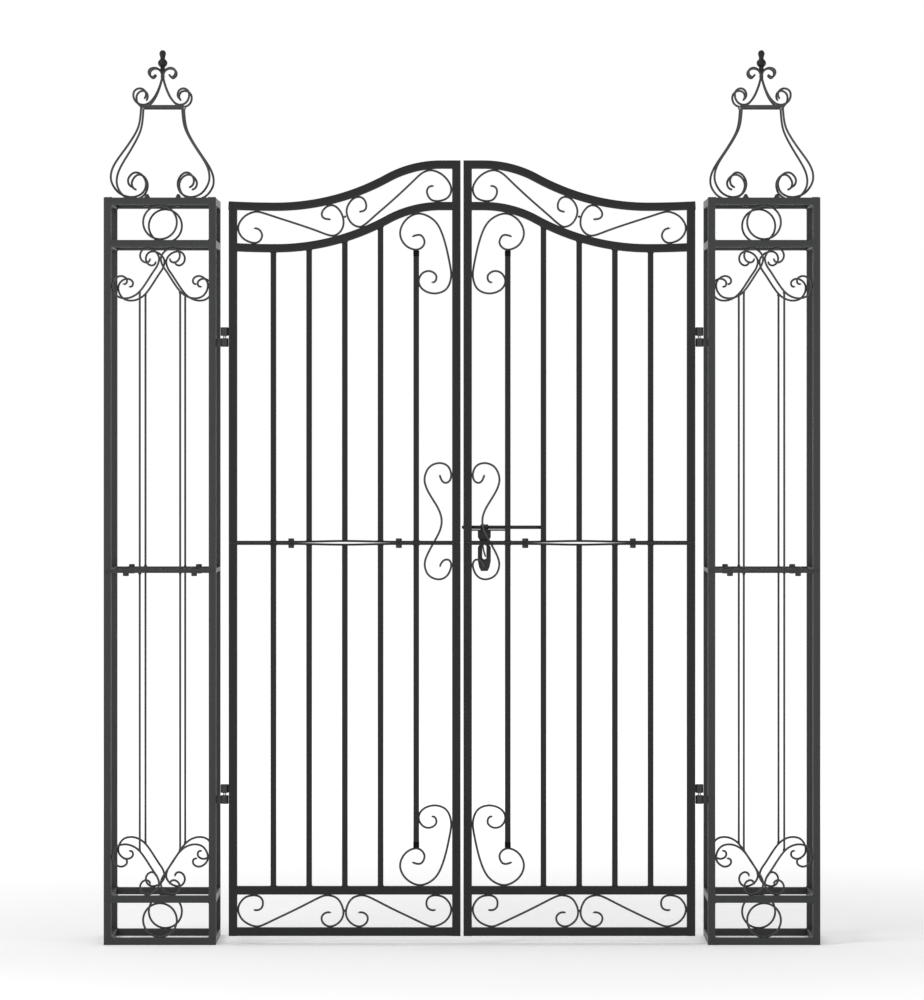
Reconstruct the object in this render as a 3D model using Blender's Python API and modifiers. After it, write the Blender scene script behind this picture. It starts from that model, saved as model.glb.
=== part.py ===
"""Double garden gate: two lattice columns with wire crowns, two ogee-topped leaves and a slide bolt.

Lengths are in millimetres and become metres where a mesh is made.  The origin is on the ground, midway
between the columns; +X runs to the right of someone facing the gate, +Y away from them, +Z up.
Each leaf is drawn once, with u measured outwards from the meeting line, and side = -1 or +1 places it.
"""
import math

import bmesh
import bpy
from mathutils import Vector

MM = 0.001
GAP = 0.3
HAIR = 0.1

# ---------------------------------------------------------------- driving dimensions
COLUMN_OUTER_X = 638.0
COLUMN_SIZE = 200.0
COLUMN_TUBE = 13.0
COLUMN_HEIGHT = 1331.0
COLUMN_SPLIT_Z = 666.0
COLUMN_CELL = 62.0
COLUMN_X = COLUMN_OUTER_X - COLUMN_SIZE / 2
FLAT_THICK = 3.5

LEAF_TUBE = 15.0
LEAF_BAR = 10.0
LEAF_INNER_U = 2.6
LEAF_OUTER_U = 415.4
LEAF_BOTTOM_Z = 16.0
LEAF_KICK_Z = 89.7
LEAF_SPLIT_Z = 716.0
LEAF_Y = -COLUMN_SIZE / 2 + LEAF_TUBE / 2
LEAF_FLAT_BOW = 1.4
WAIST_Y = LEAF_Y - 4.7
WAIST_NOTCH_U = (44.5, 56.5)
BAR_PITCH = 63.6
BAR_FIRST_U = 81.5
SHORT_BAR_TOP_Z = 1236.6
SHORT_BAR_BOTTOM_Z = 173.4
RAIL_DROP = 73.9
OGEE_LOW_U = 332.0
OGEE_LOW_Z = 1322.1
OGEE_LOW_R = 408.0
OGEE_OUTER_R = 1500.0
OGEE_TURN_U = 133.0
OGEE_HIGH_U = 38.0
OGEE_HIGH_Z = 1397.2

CROWN_BASE_THICK = 3.0
CROWN_FOOT = 56.5
CROWN_RING_Z = 1497.0
CROWN_RING_HALF = 36.9

WIRE_R = 1.9
CROWN_WIRE_R = 2.0
ROD_OFFSET = 36.0
ROD_TOP_Z = 1165.0

PIVOT_U = 422.9
BARREL_R = 7.0
PIN_R = 3.0
HINGE_Z = (251.2, 1065.2)
HINGE_BARREL = 15.3
HINGE_LIGHT = 4.2

BOLT_R = 3.2
BOLT_Z = 743.5
BOLT_Y = LEAF_Y + LEAF_TUBE / 2 + 6.5
BOLT_TIP_X = -0.5
BOLT_END_X = 147.0
KEEPER_PLAY = 1.0
HANDLE_X = 39.8

SCREW_R = 3.0
SCREW_HEAD_R = 5.6
SCREW_HEAD = 4.2
COLUMN_SCREW_X = 60.8
LEAF_SCREW_U = (112.6, 304.3)
CROWN_SCREW_X = 28.0

# ---------------------------------------------------------------- wire routes, (across, height)
COLUMN_SCROLL = [(-17, 1222.5), (-19.5, 1217), (-26, 1215), (-33, 1219.5), (-35.7, 1228), (-31.5, 1237),
                 (-22, 1240.2), (-10, 1236), (-3, 1228), (-1.5, 1220), (-5, 1209), (-12.7, 1198),
                 (-24.7, 1179), (-35.7, 1164), (-46.7, 1155.4), (-60.4, 1151.3), (-75, 1154.5),
                 (-83, 1168), (-82, 1183), (-70, 1192), (-59, 1187), (-59.5, 1178), (-66, 1176.5)]
CROWN_LEG = [(50.5, 1351), (57, 1355), (59, 1366), (49, 1378), (36, 1375), (28, 1361), (31.5, 1345),
             (42, 1336), (56.5, 1333.2), (74, 1339.5), (86, 1356), (88, 1371), (84.5, 1385),
             (76.5, 1400), (63, 1420), (48.5, 1443.5), (39.5, 1465), (36.6, 1496.4)]
CROWN_CREST = [(31, 1511), (28, 1517.5), (31, 1526), (40, 1529), (49, 1523), (49.5, 1511), (43, 1502),
               (33, 1499.5), (23, 1503.5), (13, 1516), (6, 1532), (1.6, 1547), (1.2, 1556), (5, 1564),
               (14, 1567.5), (22.5, 1564), (24, 1556), (17.8, 1549.5), (12, 1555)]
BAND_SCROLL = [(371, 62), (363, 61.6), (355.5, 67), (355, 79), (362.5, 86.2), (375, 87), (388, 82),
               (396.6, 64), (389, 43), (368, 33.8), (350, 38), (300, 61), (256, 83), (238, 87),
               (220, 81), (210.6, 60), (216, 43), (233, 33.9), (247, 39), (250.5, 50), (243, 57.6),
               (233, 57.6)]
TOP_SCROLL_OUTER = [(371, 1277), (361, 1274.5), (355.5, 1264), (361, 1253.8), (372, 1251.4),
                    (389, 1258.5), (396.6, 1277), (388, 1296), (371, 1304.2), (353, 1302.5),
                    (292, 1283.5), (240, 1266.5), (222, 1268.5), (211.2, 1281), (213, 1300),
                    (226, 1314), (240, 1313), (250, 1303), (247, 1293.5), (234, 1292)]
TOP_SCROLL_INNER = [(183, 1305.5), (172, 1308.5), (170.7, 1319.5), (177, 1328.4), (188, 1329),
                    (199.5, 1321.5), (206.4, 1306), (199, 1288), (185, 1281.2), (171, 1286.4),
                    (124, 1325.6), (86, 1361), (71, 1373.5), (54, 1378.2), (33, 1370), (20.6, 1350),
                    (25, 1332), (41, 1325.8), (56, 1328), (63, 1341), (59, 1350.5), (50, 1352)]
STILE_SCROLL = [(88.6, 1261.5), (80, 1264.5), (71.5, 1263.5), (66, 1252), (72, 1242.5), (84, 1239.2),
                (102, 1247), (111.2, 1267), (102, 1289), (79, 1300.3), (56, 1295), (40, 1278.5),
                (28, 1243), (21.6, 1208), (20.6, 1187), (28, 1167), (48, 1159.6), (67, 1166),
                (74, 1182), (68, 1197), (56, 1200.5), (45.5, 1193), (47, 1182), (54, 1179.5)]
WAIST_SCROLL = [(40, 837), (36, 826), (28.8, 822.5), (21.8, 828), (20.3, 840), (26.4, 854), (42, 858.6),
                (59, 851), (67, 832), (64, 815), (55, 798), (42, 777), (36, 758), (38.5, 739.5),
                (48, 720.5), (61, 697), (67, 677.5), (60, 658), (42, 650.4), (27, 657), (20.5, 675),
                (23.6, 685), (31, 686.2), (37, 681), (40, 673)]
FINIAL_PROFILE = [(0, 1600), (3.4, 1599), (5.6, 1595.6), (6, 1592.6), (5, 1588.6), (4.4, 1586),
                  (4.6, 1583.4), (7, 1581), (8.7, 1577), (7.6, 1572.4), (4.4, 1569.4), (4.4, 1560),
                  (0, 1560)]
STILE_SCROLL_MIRROR_Z = 1408.5
PAIR_WELDS = {"kick_scroll_pair": (209.0, 60.5), "top_scroll_pair": (208.4, 1297.0)}


# ---------------------------------------------------------------- set-up
def clear_scene():
    for item in list(bpy.data.objects):
        bpy.data.objects.remove(item, do_unlink=True)


def new_collection(name):
    made = bpy.data.collections.new(name)
    bpy.context.scene.collection.children.link(made)
    return made


def paint(name, colour, roughness, metallic):
    made = bpy.data.materials.new(name)
    made.use_nodes = True
    shader = made.node_tree.nodes["Principled BSDF"]
    shader.inputs["Base Color"].default_value = (*colour, 1.0)
    shader.inputs["Roughness"].default_value = roughness
    shader.inputs["Metallic"].default_value = metallic
    return made


FINISHES = {
    "column_paint": ((0.032, 0.032, 0.034), 0.42, 0.0),
    "leaf_paint": ((0.028, 0.028, 0.030), 0.42, 0.0),
    "wire_paint": ((0.030, 0.030, 0.032), 0.40, 0.0),
    "cast_paint": ((0.014, 0.014, 0.015), 0.30, 0.0),
    "hinge_paint": ((0.022, 0.022, 0.024), 0.38, 0.0),
    "screw_black": ((0.016, 0.016, 0.017), 0.35, 0.6),
    "bolt_black": ((0.018, 0.018, 0.019), 0.34, 0.2),
}


# ---------------------------------------------------------------- makers
def link_mesh(name, mesh):
    made = bpy.data.objects.new(name, mesh)
    WORK.objects.link(made)
    return made


def from_bmesh(name, shape):
    mesh = bpy.data.meshes.new(name)
    shape.to_mesh(mesh)
    shape.free()
    return link_mesh(name, mesh)


def box(name, x, y, z):
    """A box between the (low, high) pairs x, y and z."""
    shape = bmesh.new()
    bmesh.ops.create_cube(shape, size=1.0)
    size = Vector((x[1] - x[0], y[1] - y[0], z[1] - z[0])) * MM
    centre = Vector((x[0] + x[1], y[0] + y[1], z[0] + z[1])) * MM / 2
    bmesh.ops.scale(shape, vec=size, verts=shape.verts)
    bmesh.ops.translate(shape, vec=centre, verts=shape.verts)
    return from_bmesh(name, shape)


def cylinder(name, centre, radius, length, axis="Z", sides=12):
    """A cylinder centred at centre, its axis along X, Y or Z."""
    shape = bmesh.new()
    bmesh.ops.create_cone(shape, cap_ends=True, segments=sides, radius1=radius * MM, radius2=radius * MM,
                          depth=length * MM)
    turned = {"Z": Vector((0, 0, 1)), "X": Vector((1, 0, 0)), "Y": Vector((0, 1, 0))}[axis]
    turn = Vector((0, 0, 1)).rotation_difference(turned).to_matrix()
    bmesh.ops.rotate(shape, cent=(0, 0, 0), matrix=turn, verts=shape.verts)
    bmesh.ops.translate(shape, vec=Vector(centre) * MM, verts=shape.verts)
    return from_bmesh(name, shape)


def evaluated_mesh(item):
    bpy.context.view_layer.update()
    graph = bpy.context.evaluated_depsgraph_get()
    return bpy.data.meshes.new_from_object(item.evaluated_get(graph))


def welded_from_curve(name, curve):
    """The mesh of a curve object, its caps welded on."""
    item = bpy.data.objects.new(name + "_curve", curve)
    WORK.objects.link(item)
    mesh = evaluated_mesh(item)
    bpy.data.objects.remove(item, do_unlink=True)
    shape = bmesh.new()
    shape.from_mesh(mesh)
    bmesh.ops.remove_doubles(shape, verts=shape.verts, dist=0.00001)
    bmesh.ops.recalc_face_normals(shape, faces=shape.faces)
    bpy.data.meshes.remove(mesh)
    return from_bmesh(name, shape)


def outline(name, loops, place, thick):
    """A flat plate from closed (across, height) loops, extruded by thick along Y and moved to place(y)."""
    curve = bpy.data.curves.new(name, "CURVE")
    curve.dimensions = "2D"
    curve.fill_mode = "BOTH"
    curve.extrude = thick * MM / 2
    for loop in loops:
        spline = curve.splines.new("POLY")
        spline.points.add(len(loop) - 1)
        for point, (across, height) in zip(spline.points, loop):
            point.co = (across * MM, height * MM, 0, 1)
        spline.use_cyclic_u = True
    item = welded_from_curve(name, curve)
    for vertex in item.data.vertices:
        across, height, depth = vertex.co
        vertex.co = (across, place * MM - depth, height)
    return item


def wire(name, points, radius, closed=False):
    """A wire through 3-D points, as a four-sided tube: closed into a ring, or with capped ends."""
    curve = bpy.data.curves.new(name, "CURVE")
    curve.dimensions = "3D"
    curve.bevel_depth = radius * MM
    curve.bevel_resolution = 0
    curve.use_fill_caps = not closed
    spline = curve.splines.new("POLY")
    spline.points.add(len(points) - 1)
    for point, place in zip(spline.points, points):
        point.co = (*(Vector(place) * MM), 1)
    spline.use_cyclic_u = closed
    return welded_from_curve(name, curve)


def close_slivers(mesh):
    """Merge the doubled corners that a union leaves where faces cross at a vertex."""
    shape = bmesh.new()
    shape.from_mesh(mesh)
    bmesh.ops.remove_doubles(shape, verts=shape.verts, dist=0.000004)
    bmesh.ops.dissolve_degenerate(shape, edges=shape.edges, dist=0.000004)
    shape.to_mesh(mesh)
    shape.free()
    return mesh


def fuse(name, pieces):
    """Weld overlapping pieces into one solid called name."""
    base = pieces[0]
    for other in pieces[1:]:
        cut = base.modifiers.new("weld", "BOOLEAN")
        cut.operation = "UNION"
        cut.solver = "EXACT"
        cut.object = other
        mesh = evaluated_mesh(base)
        base.modifiers.clear()
        base.data = close_slivers(mesh)
        bpy.data.objects.remove(other, do_unlink=True)
    base.name = name
    base.data.name = name
    return base


def bore(item, cutter):
    """Take cutter out of item."""
    cut = item.modifiers.new("bore", "BOOLEAN")
    cut.operation = "DIFFERENCE"
    cut.solver = "EXACT"
    cut.object = cutter
    mesh = evaluated_mesh(item)
    item.modifiers.clear()
    item.data = mesh
    bpy.data.objects.remove(cutter, do_unlink=True)
    return item


def smooth_route(points, turn_step, per_span=14):
    """A Catmull-Rom curve through 2-D points, kept wherever it has turned by turn_step degrees."""
    dense = []
    ends = [points[0]] + list(points) + [points[-1]]
    for a, b, c, d in zip(ends, ends[1:], ends[2:], ends[3:]):
        for k in range(per_span):
            t = k / per_span
            dense.append(tuple(0.5 * (2 * q + (r - p) * t + (2 * p - 5 * q + 4 * r - s) * t * t
                                      + (3 * q - p - 3 * r + s) * t ** 3)
                               for p, q, r, s in zip(a, b, c, d)))
    dense.append(tuple(points[-1]))
    kept = [dense[0]]
    turned = 0.0
    for before, here, after in zip(dense, dense[1:], dense[2:]):
        first = math.atan2(here[1] - before[1], here[0] - before[0])
        second = math.atan2(after[1] - here[1], after[0] - here[0])
        turned += abs((second - first + math.pi) % (2 * math.pi) - math.pi)
        if turned >= math.radians(turn_step):
            kept.append(here)
            turned = 0.0
    kept.append(dense[-1])
    return kept


def place_piece(item, finish, parent=None):
    """Name the finish of a finished piece, shade it, and hang it on its joint's empty if it has one."""
    item.data.materials.clear()
    item.data.materials.append(MATERIALS[finish])
    item.data.shade_smooth()
    item.data.set_sharp_from_angle(angle=math.radians(40))
    WORK.objects.unlink(item)
    GATE.objects.link(item)
    if parent:
        bpy.context.view_layer.update()
        item.parent = parent
        item.matrix_parent_inverse = parent.matrix_world.inverted()
    return item


def joint_empty(name, place, parent=None):
    empty = bpy.data.objects.new(name, None)
    empty.empty_display_size = 0.05
    GATE.objects.link(empty)
    empty.location = Vector(place) * MM
    bpy.context.view_layer.update()
    if parent:
        empty.parent = parent
        empty.matrix_parent_inverse = parent.matrix_world.inverted()
    return empty


def span(centre, half):
    return (centre - half, centre + half)


def mirrored(side, low, high):
    """An outward span placed on the left (side -1) or right (side +1), low end first."""
    return tuple(sorted((side * low, side * high)))


def screw(name, x, y, seat_z, grip, head=SCREW_HEAD, tail=9.0):
    """A hexagon screw with its nut: the head sits on seat_z, and the nut is grip below it."""
    top = seat_z + GAP / 2
    low = seat_z - grip - GAP / 2
    pieces = [cylinder("head", (x, y, top + head / 2), SCREW_HEAD_R, head, sides=6),
              cylinder("shank", (x, y, (top + 1 + low - tail) / 2), SCREW_R, top + 1 - low + tail, sides=6),
              cylinder("nut", (x, y, low - 2.6), SCREW_HEAD_R, 5.2, sides=6)]
    return place_piece(fuse(name, pieces), "screw_black")


# ---------------------------------------------------------------- columns
def column_ring(cx, low, high):
    """Four rails round a column between two heights, a hair thinner than its posts."""
    half = COLUMN_SIZE / 2
    inner = half - COLUMN_TUBE
    bury = 3.0
    long_x = span(cx, inner + bury)
    rails = []
    for sign in (-1, 1):
        near = sorted((sign * (half - HAIR), sign * (inner + HAIR)))
        rails.append(box("rail", long_x, near, (low, high)))
        rails.append(box("rail", (cx + near[0], cx + near[1]), span(0, inner + bury), (low, high)))
    return rails


def column_posts(cx, low, high):
    half = COLUMN_SIZE / 2
    posts = []
    for sx in (-1, 1):
        for sy in (-1, 1):
            x = sorted((cx + sx * half, cx + sx * (half - COLUMN_TUBE)))
            y = sorted((sy * half, sy * (half - COLUMN_TUBE)))
            posts.append(box("post", x, y, (low, high)))
    return posts


def ring_wires(cx, middle_z):
    """The round ornament in the short cells, front and back, welded between its two rails."""
    made = []
    radius = COLUMN_CELL / 2 - 1.0
    count = 14
    for face in (-1, 1):
        plane = face * (COLUMN_SIZE / 2 - COLUMN_TUBE / 2)
        places = []
        for k in range(count):
            angle = 2 * math.pi * (k + 0.5) / count
            places.append((cx + radius * math.cos(angle), plane, middle_z + radius * math.sin(angle)))
        made.append(wire("ring", places, WIRE_R, closed=True))
    return made


def column_flats(cx, low, high):
    """The joint ring of flat bar that closes one half of a column."""
    outer = COLUMN_SIZE / 2 - HAIR
    inner = COLUMN_SIZE / 2 - COLUMN_TUBE + HAIR
    plate = box("flats", span(cx, outer), span(0, outer), (low, high))
    bore(plate, box("hole", span(cx, inner), span(0, inner), (low - 5, high + 5)))
    for sx in (-1, 1):
        for sy in (-1, 1):
            spot = (cx + sx * COLUMN_SCREW_X, sy * (outer + inner) / 2, low)
            bore(plate, cylinder("hole", spot, SCREW_R + GAP, 20, sides=8))
    return plate


def column_lower_frame(side):
    cx = side * COLUMN_X
    seam = COLUMN_SPLIT_Z - GAP / 2
    pieces = [column_flats(cx, seam - FLAT_THICK, seam)]
    pieces += column_posts(cx, 0, seam - FLAT_THICK + 0.5)
    pieces += column_ring(cx, 0, COLUMN_TUBE)
    pieces += column_ring(cx, COLUMN_TUBE + COLUMN_CELL, 2 * COLUMN_TUBE + COLUMN_CELL)
    pieces += ring_wires(cx, COLUMN_TUBE + COLUMN_CELL / 2)
    return fuse("%s_column_lower_frame" % SIDE[side], pieces)


def column_upper_frame(side):
    cx = side * COLUMN_X
    seam = COLUMN_SPLIT_Z + GAP / 2
    top = COLUMN_HEIGHT
    under = top - COLUMN_TUBE - COLUMN_CELL - 0.5
    pieces = [column_flats(cx, seam, seam + FLAT_THICK)]
    pieces += column_posts(cx, seam + FLAT_THICK - 0.5, top)
    pieces += column_ring(cx, top - COLUMN_TUBE, top)
    pieces += column_ring(cx, under - COLUMN_TUBE, under)
    pieces += ring_wires(cx, top - COLUMN_TUBE - COLUMN_CELL / 2)
    inner = COLUMN_SIZE / 2 - COLUMN_TUBE + 3
    brace_top = top - CROWN_BASE_THICK - GAP
    pieces.append(box("brace", span(cx, inner), span(0, 12), (brace_top - 3.5, brace_top)))
    frame = fuse("%s_column_upper_frame" % SIDE[side], pieces)
    for sign in (-1, 1):
        bore(frame, cylinder("hole", (cx + sign * CROWN_SCREW_X, 0, brace_top), SCREW_R + GAP, 20, sides=8))
    return frame


def column_scrollwork(side, face, upper):
    """A scroll pair and its two rods, in the front (face -1) or back (face +1) of half a column."""
    cx = side * COLUMN_X
    plane = face * (COLUMN_SIZE / 2 - COLUMN_TUBE / 2)
    route = smooth_route(COLUMN_SCROLL, 38)
    mirror_z = COLUMN_HEIGHT - 0.5
    if not upper:
        route = [(across, mirror_z - height) for across, height in route]
    pieces = []
    for sign in (1, -1):
        pieces.append(wire("scroll", [(cx + sign * v, plane, z) for v, z in route], WIRE_R))
    seam = COLUMN_SPLIT_Z + (FLAT_THICK + GAP / 2 + GAP) * (1 if upper else -1)
    foot = ROD_TOP_Z if upper else mirror_z - ROD_TOP_Z
    for sign in (-1, 1):
        x = cx + sign * ROD_OFFSET
        pieces.append(wire("rod", [(x, plane, foot), (x, plane, seam)], WIRE_R))
    name = "%s_column_%s_%s_scrollwork" % (SIDE[side], "front" if face < 0 else "back",
                                           "upper" if upper else "lower")
    return fuse(name, pieces)


def make_column(side):
    cx = side * COLUMN_X
    plane = COLUMN_SIZE / 2 - COLUMN_TUBE / 2
    for frame in (column_lower_frame(side), column_upper_frame(side)):
        place_piece(frame, "column_paint")
    for face in (-1, 1):
        for upper in (False, True):
            place_piece(column_scrollwork(side, face, upper), "wire_paint")
    for face in (-1, 1):
        for sx in (-1, 1):
            name = "%s_column_%s_%s_screw" % (SIDE[side], "front" if face < 0 else "back", SIDE[sx])
            seat = COLUMN_SPLIT_Z + GAP / 2 + FLAT_THICK
            screw(name, cx + sx * COLUMN_SCREW_X, face * plane, seat, 2 * FLAT_THICK + GAP, tail=4.5)


# ---------------------------------------------------------------- crowns
def make_crown(side):
    cx = side * COLUMN_X
    top = COLUMN_HEIGHT
    low = top - CROWN_BASE_THICK
    strap = 7.0
    plate = box("base", span(cx, CROWN_FOOT + strap), span(0, CROWN_FOOT + strap), (low, top))
    for sign in (-1, 1):
        window = sorted((sign * (CROWN_FOOT - strap), sign * 12.0))
        bore(plate, box("window", span(cx, CROWN_FOOT - strap), window, (low - 5, top + 5)))
    for sign in (-1, 1):
        bore(plate, cylinder("hole", (cx + sign * CROWN_SCREW_X, 0, top), SCREW_R + GAP, 20, sides=8))
    pieces = [plate]
    leg = smooth_route(CROWN_LEG, 38)
    crest = smooth_route(CROWN_CREST, 42)
    for sx in (-1, 1):
        for sy in (-1, 1):
            pieces.append(wire("leg", [(cx + sx * v, sy * v, z) for v, z in leg], CROWN_WIRE_R))
            pieces.append(wire("crest", [(cx + sx * v, sy * v, z) for v, z in crest], CROWN_WIRE_R))
            pad = (cx + sx * CROWN_FOOT, sy * CROWN_FOOT, top + 0.7)
            pieces.append(cylinder("pad", pad, 4.3, 3.4, sides=8))
    half = CROWN_RING_HALF
    corners = [(cx + half, half), (cx - half, half), (cx - half, -half), (cx + half, -half)]
    pieces.append(wire("ring", [(x, y, CROWN_RING_Z) for x, y in corners], CROWN_WIRE_R + 0.3, closed=True))
    crown = fuse("%s_crown" % SIDE[side], pieces)
    bore(crown, cylinder("seat", (cx, 0, 1582), 4.4 + GAP, 44.6, sides=12))
    place_piece(crown, "wire_paint")
    for sign in (-1, 1):
        screw("%s_crown_%s_screw" % (SIDE[side], SIDE[sign]), cx + sign * CROWN_SCREW_X, 0, top,
              CROWN_BASE_THICK + GAP + 3.5, head=5.6, tail=1.0)
    place_piece(finial(side), "cast_paint")


def finial(side):
    mesh = bpy.data.meshes.new("finial")
    points = [(radius * MM, 0, height * MM) for radius, height in FINIAL_PROFILE]
    mesh.from_pydata(points, [(k, k + 1) for k in range(len(points) - 1)], [])
    item = link_mesh("%s_finial" % SIDE[side], mesh)
    turn = item.modifiers.new("turn", "SCREW")
    turn.steps = turn.render_steps = 12
    turn.use_merge_vertices = True
    turn.merge_threshold = 0.00005
    turned = evaluated_mesh(item)
    item.modifiers.clear()
    item.data = turned
    for vertex in item.data.vertices:
        vertex.co.x += side * COLUMN_X * MM
    return item


# ---------------------------------------------------------------- leaves
def ogee(u):
    """Height of a leaf's top edge: shallow arc, hollow arc, round arc, then level to the meeting stile."""
    hollow_turn = OGEE_LOW_U - OGEE_TURN_U
    turn_z = OGEE_LOW_Z + OGEE_LOW_R - math.sqrt(OGEE_LOW_R ** 2 - hollow_turn ** 2)
    if u >= OGEE_TURN_U:
        away = u - OGEE_LOW_U
        radius = OGEE_OUTER_R if away > 0 else OGEE_LOW_R
        return OGEE_LOW_Z + radius - math.sqrt(radius ** 2 - away ** 2)
    if u <= OGEE_HIGH_U:
        return OGEE_HIGH_Z
    rise = OGEE_HIGH_Z - turn_z
    run = OGEE_TURN_U - OGEE_HIGH_U
    crest_r = (rise ** 2 + run ** 2) / (2 * rise)
    return OGEE_HIGH_Z - crest_r + math.sqrt(crest_r ** 2 - (u - OGEE_HIGH_U) ** 2)


def ogee_slope(u):
    return (ogee(u + 0.5) - ogee(u - 0.5)) / 1.0


def ogee_rail(side, drop):
    """A square tube bent to the ogee, drop below the top edge."""
    count = 22
    first = LEAF_INNER_U + 6
    last = LEAF_OUTER_U - 6
    top_edge = []
    low_edge = []
    for k in range(count + 1):
        u = first + (last - first) * k / count
        slope = ogee_slope(u)
        scale = LEAF_TUBE / math.sqrt(1 + slope * slope)
        top_edge.append((u, ogee(u) - drop))
        low_edge.append((u + slope * scale, ogee(u) - drop - scale))
    loop = top_edge + low_edge[::-1]
    return outline("ogee", [[(side * u, z) for u, z in loop]], LEAF_Y, LEAF_TUBE - 0.2)


def bar_places():
    return [BAR_FIRST_U + BAR_PITCH * k for k in range(5)]


def leaf_flat(side, upper):
    """One of the two flat bars that meet at the joint; they spring apart a little between the screws."""
    sign = 1 if upper else -1
    near = LEAF_SPLIT_Z + sign * GAP / 2
    first, last = LEAF_SCREW_U
    count = 8
    bowed = []
    first += 2 * SCREW_R
    last -= 2 * SCREW_R
    for k in range(count + 1):
        u = first + (last - first) * k / count
        bowed.append((u, near + sign * LEAF_FLAT_BOW * math.sin(math.pi * (k + 0.5) / (count + 1)) ** 2))
    seam = [(LEAF_INNER_U + HAIR, near)] + bowed + [(LEAF_OUTER_U - HAIR, near)]
    far = [(u, z + sign * FLAT_THICK) for u, z in seam[::-1]]
    flat = outline("flat", [[(side * u, z) for u, z in seam + far]], LEAF_Y, LEAF_TUBE - 2 * HAIR)
    for u in LEAF_SCREW_U:
        bore(flat, cylinder("hole", (side * u, LEAF_Y, LEAF_SPLIT_Z), SCREW_R + GAP, 20, sides=8))
    notch_y = (LEAF_Y - LEAF_TUBE, WAIST_Y + WIRE_R + 2 * GAP)
    return bore(flat, box("notch", mirrored(side, *WAIST_NOTCH_U), notch_y, span(LEAF_SPLIT_Z, 12)))


def leaf_lower_frame(side):
    top = LEAF_SPLIT_Z - GAP / 2 - FLAT_THICK + 0.5
    y = span(LEAF_Y, LEAF_TUBE / 2)
    thin = span(LEAF_Y, LEAF_TUBE / 2 - 0.1)
    pieces = [leaf_flat(side, False)]
    for u in (LEAF_INNER_U, LEAF_OUTER_U - LEAF_TUBE):
        pieces.append(box("stile", mirrored(side, u, u + LEAF_TUBE), y, (LEAF_BOTTOM_Z, top)))
    rail_u = mirrored(side, LEAF_INNER_U + LEAF_TUBE - 4, LEAF_OUTER_U - LEAF_TUBE + 4)
    for z in (LEAF_BOTTOM_Z, LEAF_KICK_Z):
        pieces.append(box("rail", rail_u, thin, (z, z + LEAF_TUBE)))
    for k, u in enumerate(bar_places()):
        low = SHORT_BAR_BOTTOM_Z if k == 0 else LEAF_KICK_Z + LEAF_TUBE - 4
        pieces.append(box("bar", mirrored(side, u - LEAF_BAR / 2, u + LEAF_BAR / 2),
                          span(LEAF_Y, LEAF_BAR / 2), (low, top)))
    if side > 0:
        pieces.append(wire("staple", [(37.0, LEAF_Y, 714), (38.2, LEAF_Y, 706), (42.0, LEAF_Y, 691)], 1.6))
    return fuse("%s_leaf_lower_frame" % SIDE[side], pieces)


def leaf_upper_frame(side):
    low = LEAF_SPLIT_Z + GAP / 2 + FLAT_THICK - 0.5
    y = span(LEAF_Y, LEAF_TUBE / 2)
    pieces = [leaf_flat(side, True)]
    for u in (LEAF_INNER_U, LEAF_OUTER_U - LEAF_TUBE):
        stile_top = min(ogee(u), ogee(u + LEAF_TUBE))
        pieces.append(box("stile", mirrored(side, u, u + LEAF_TUBE), y, (low, stile_top)))
    pieces += [ogee_rail(side, 0), ogee_rail(side, RAIL_DROP)]
    for k, u in enumerate(bar_places()):
        top = SHORT_BAR_TOP_Z if k == 0 else ogee(u) - RAIL_DROP - LEAF_TUBE / 2
        pieces.append(box("bar", mirrored(side, u - LEAF_BAR / 2, u + LEAF_BAR / 2),
                          span(LEAF_Y, LEAF_BAR / 2), (low, top)))
    if side > 0:
        strap_u = (LEAF_INNER_U + LEAF_TUBE - 3, BAR_FIRST_U)
        pieces.append(box("strap", strap_u, span(LEAF_Y + 1.2, 3.4), (BOLT_Z - 6.2, BOLT_Z - 3.6)))
    return fuse("%s_leaf_upper_frame" % SIDE[side], pieces)


def leaf_wire(side, route, plane):
    return wire("scroll", [(side * u, plane, z) for u, z in smooth_route(route, 34)], WIRE_R)


def leaf_scrolls(side):
    """The five scroll pieces of a leaf, by name."""
    middle = (LEAF_INNER_U + LEAF_OUTER_U) / 2
    inner_band = [(2 * middle - u, z) for u, z in BAND_SCROLL]
    foot_scroll = [(u, STILE_SCROLL_MIRROR_Z - z) for u, z in STILE_SCROLL]
    return {
        "kick_scroll_pair": [BAND_SCROLL, inner_band],
        "top_scroll_pair": [TOP_SCROLL_OUTER, TOP_SCROLL_INNER],
        "high_scroll": [STILE_SCROLL],
        "foot_scroll": [foot_scroll],
        "waist_scroll": [WAIST_SCROLL],
    }


def make_leaf(side, swing):
    place_piece(leaf_lower_frame(side), "leaf_paint", swing)
    place_piece(leaf_upper_frame(side), "leaf_paint", swing)
    for label, routes in leaf_scrolls(side).items():
        plane = WAIST_Y if label == "waist_scroll" else LEAF_Y
        pieces = [leaf_wire(side, route, plane) for route in routes]
        if label in PAIR_WELDS:
            u, z = PAIR_WELDS[label]
            pieces.append(cylinder("weld", (side * u, LEAF_Y, z), 3.4, 3.0, axis="Y", sides=6))
        place_piece(fuse("%s_leaf_%s" % (SIDE[side], label), pieces), "wire_paint", swing)
    seat = LEAF_SPLIT_Z + GAP / 2 + FLAT_THICK
    for label, u in zip(("inner", "outer"), LEAF_SCREW_U):
        made = screw("%s_leaf_%s_screw" % (SIDE[side], label), side * u, LEAF_Y, seat,
                     2 * FLAT_THICK + GAP, tail=3.0)
        made.parent = swing
        made.matrix_parent_inverse = swing.matrix_world.inverted()


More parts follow.
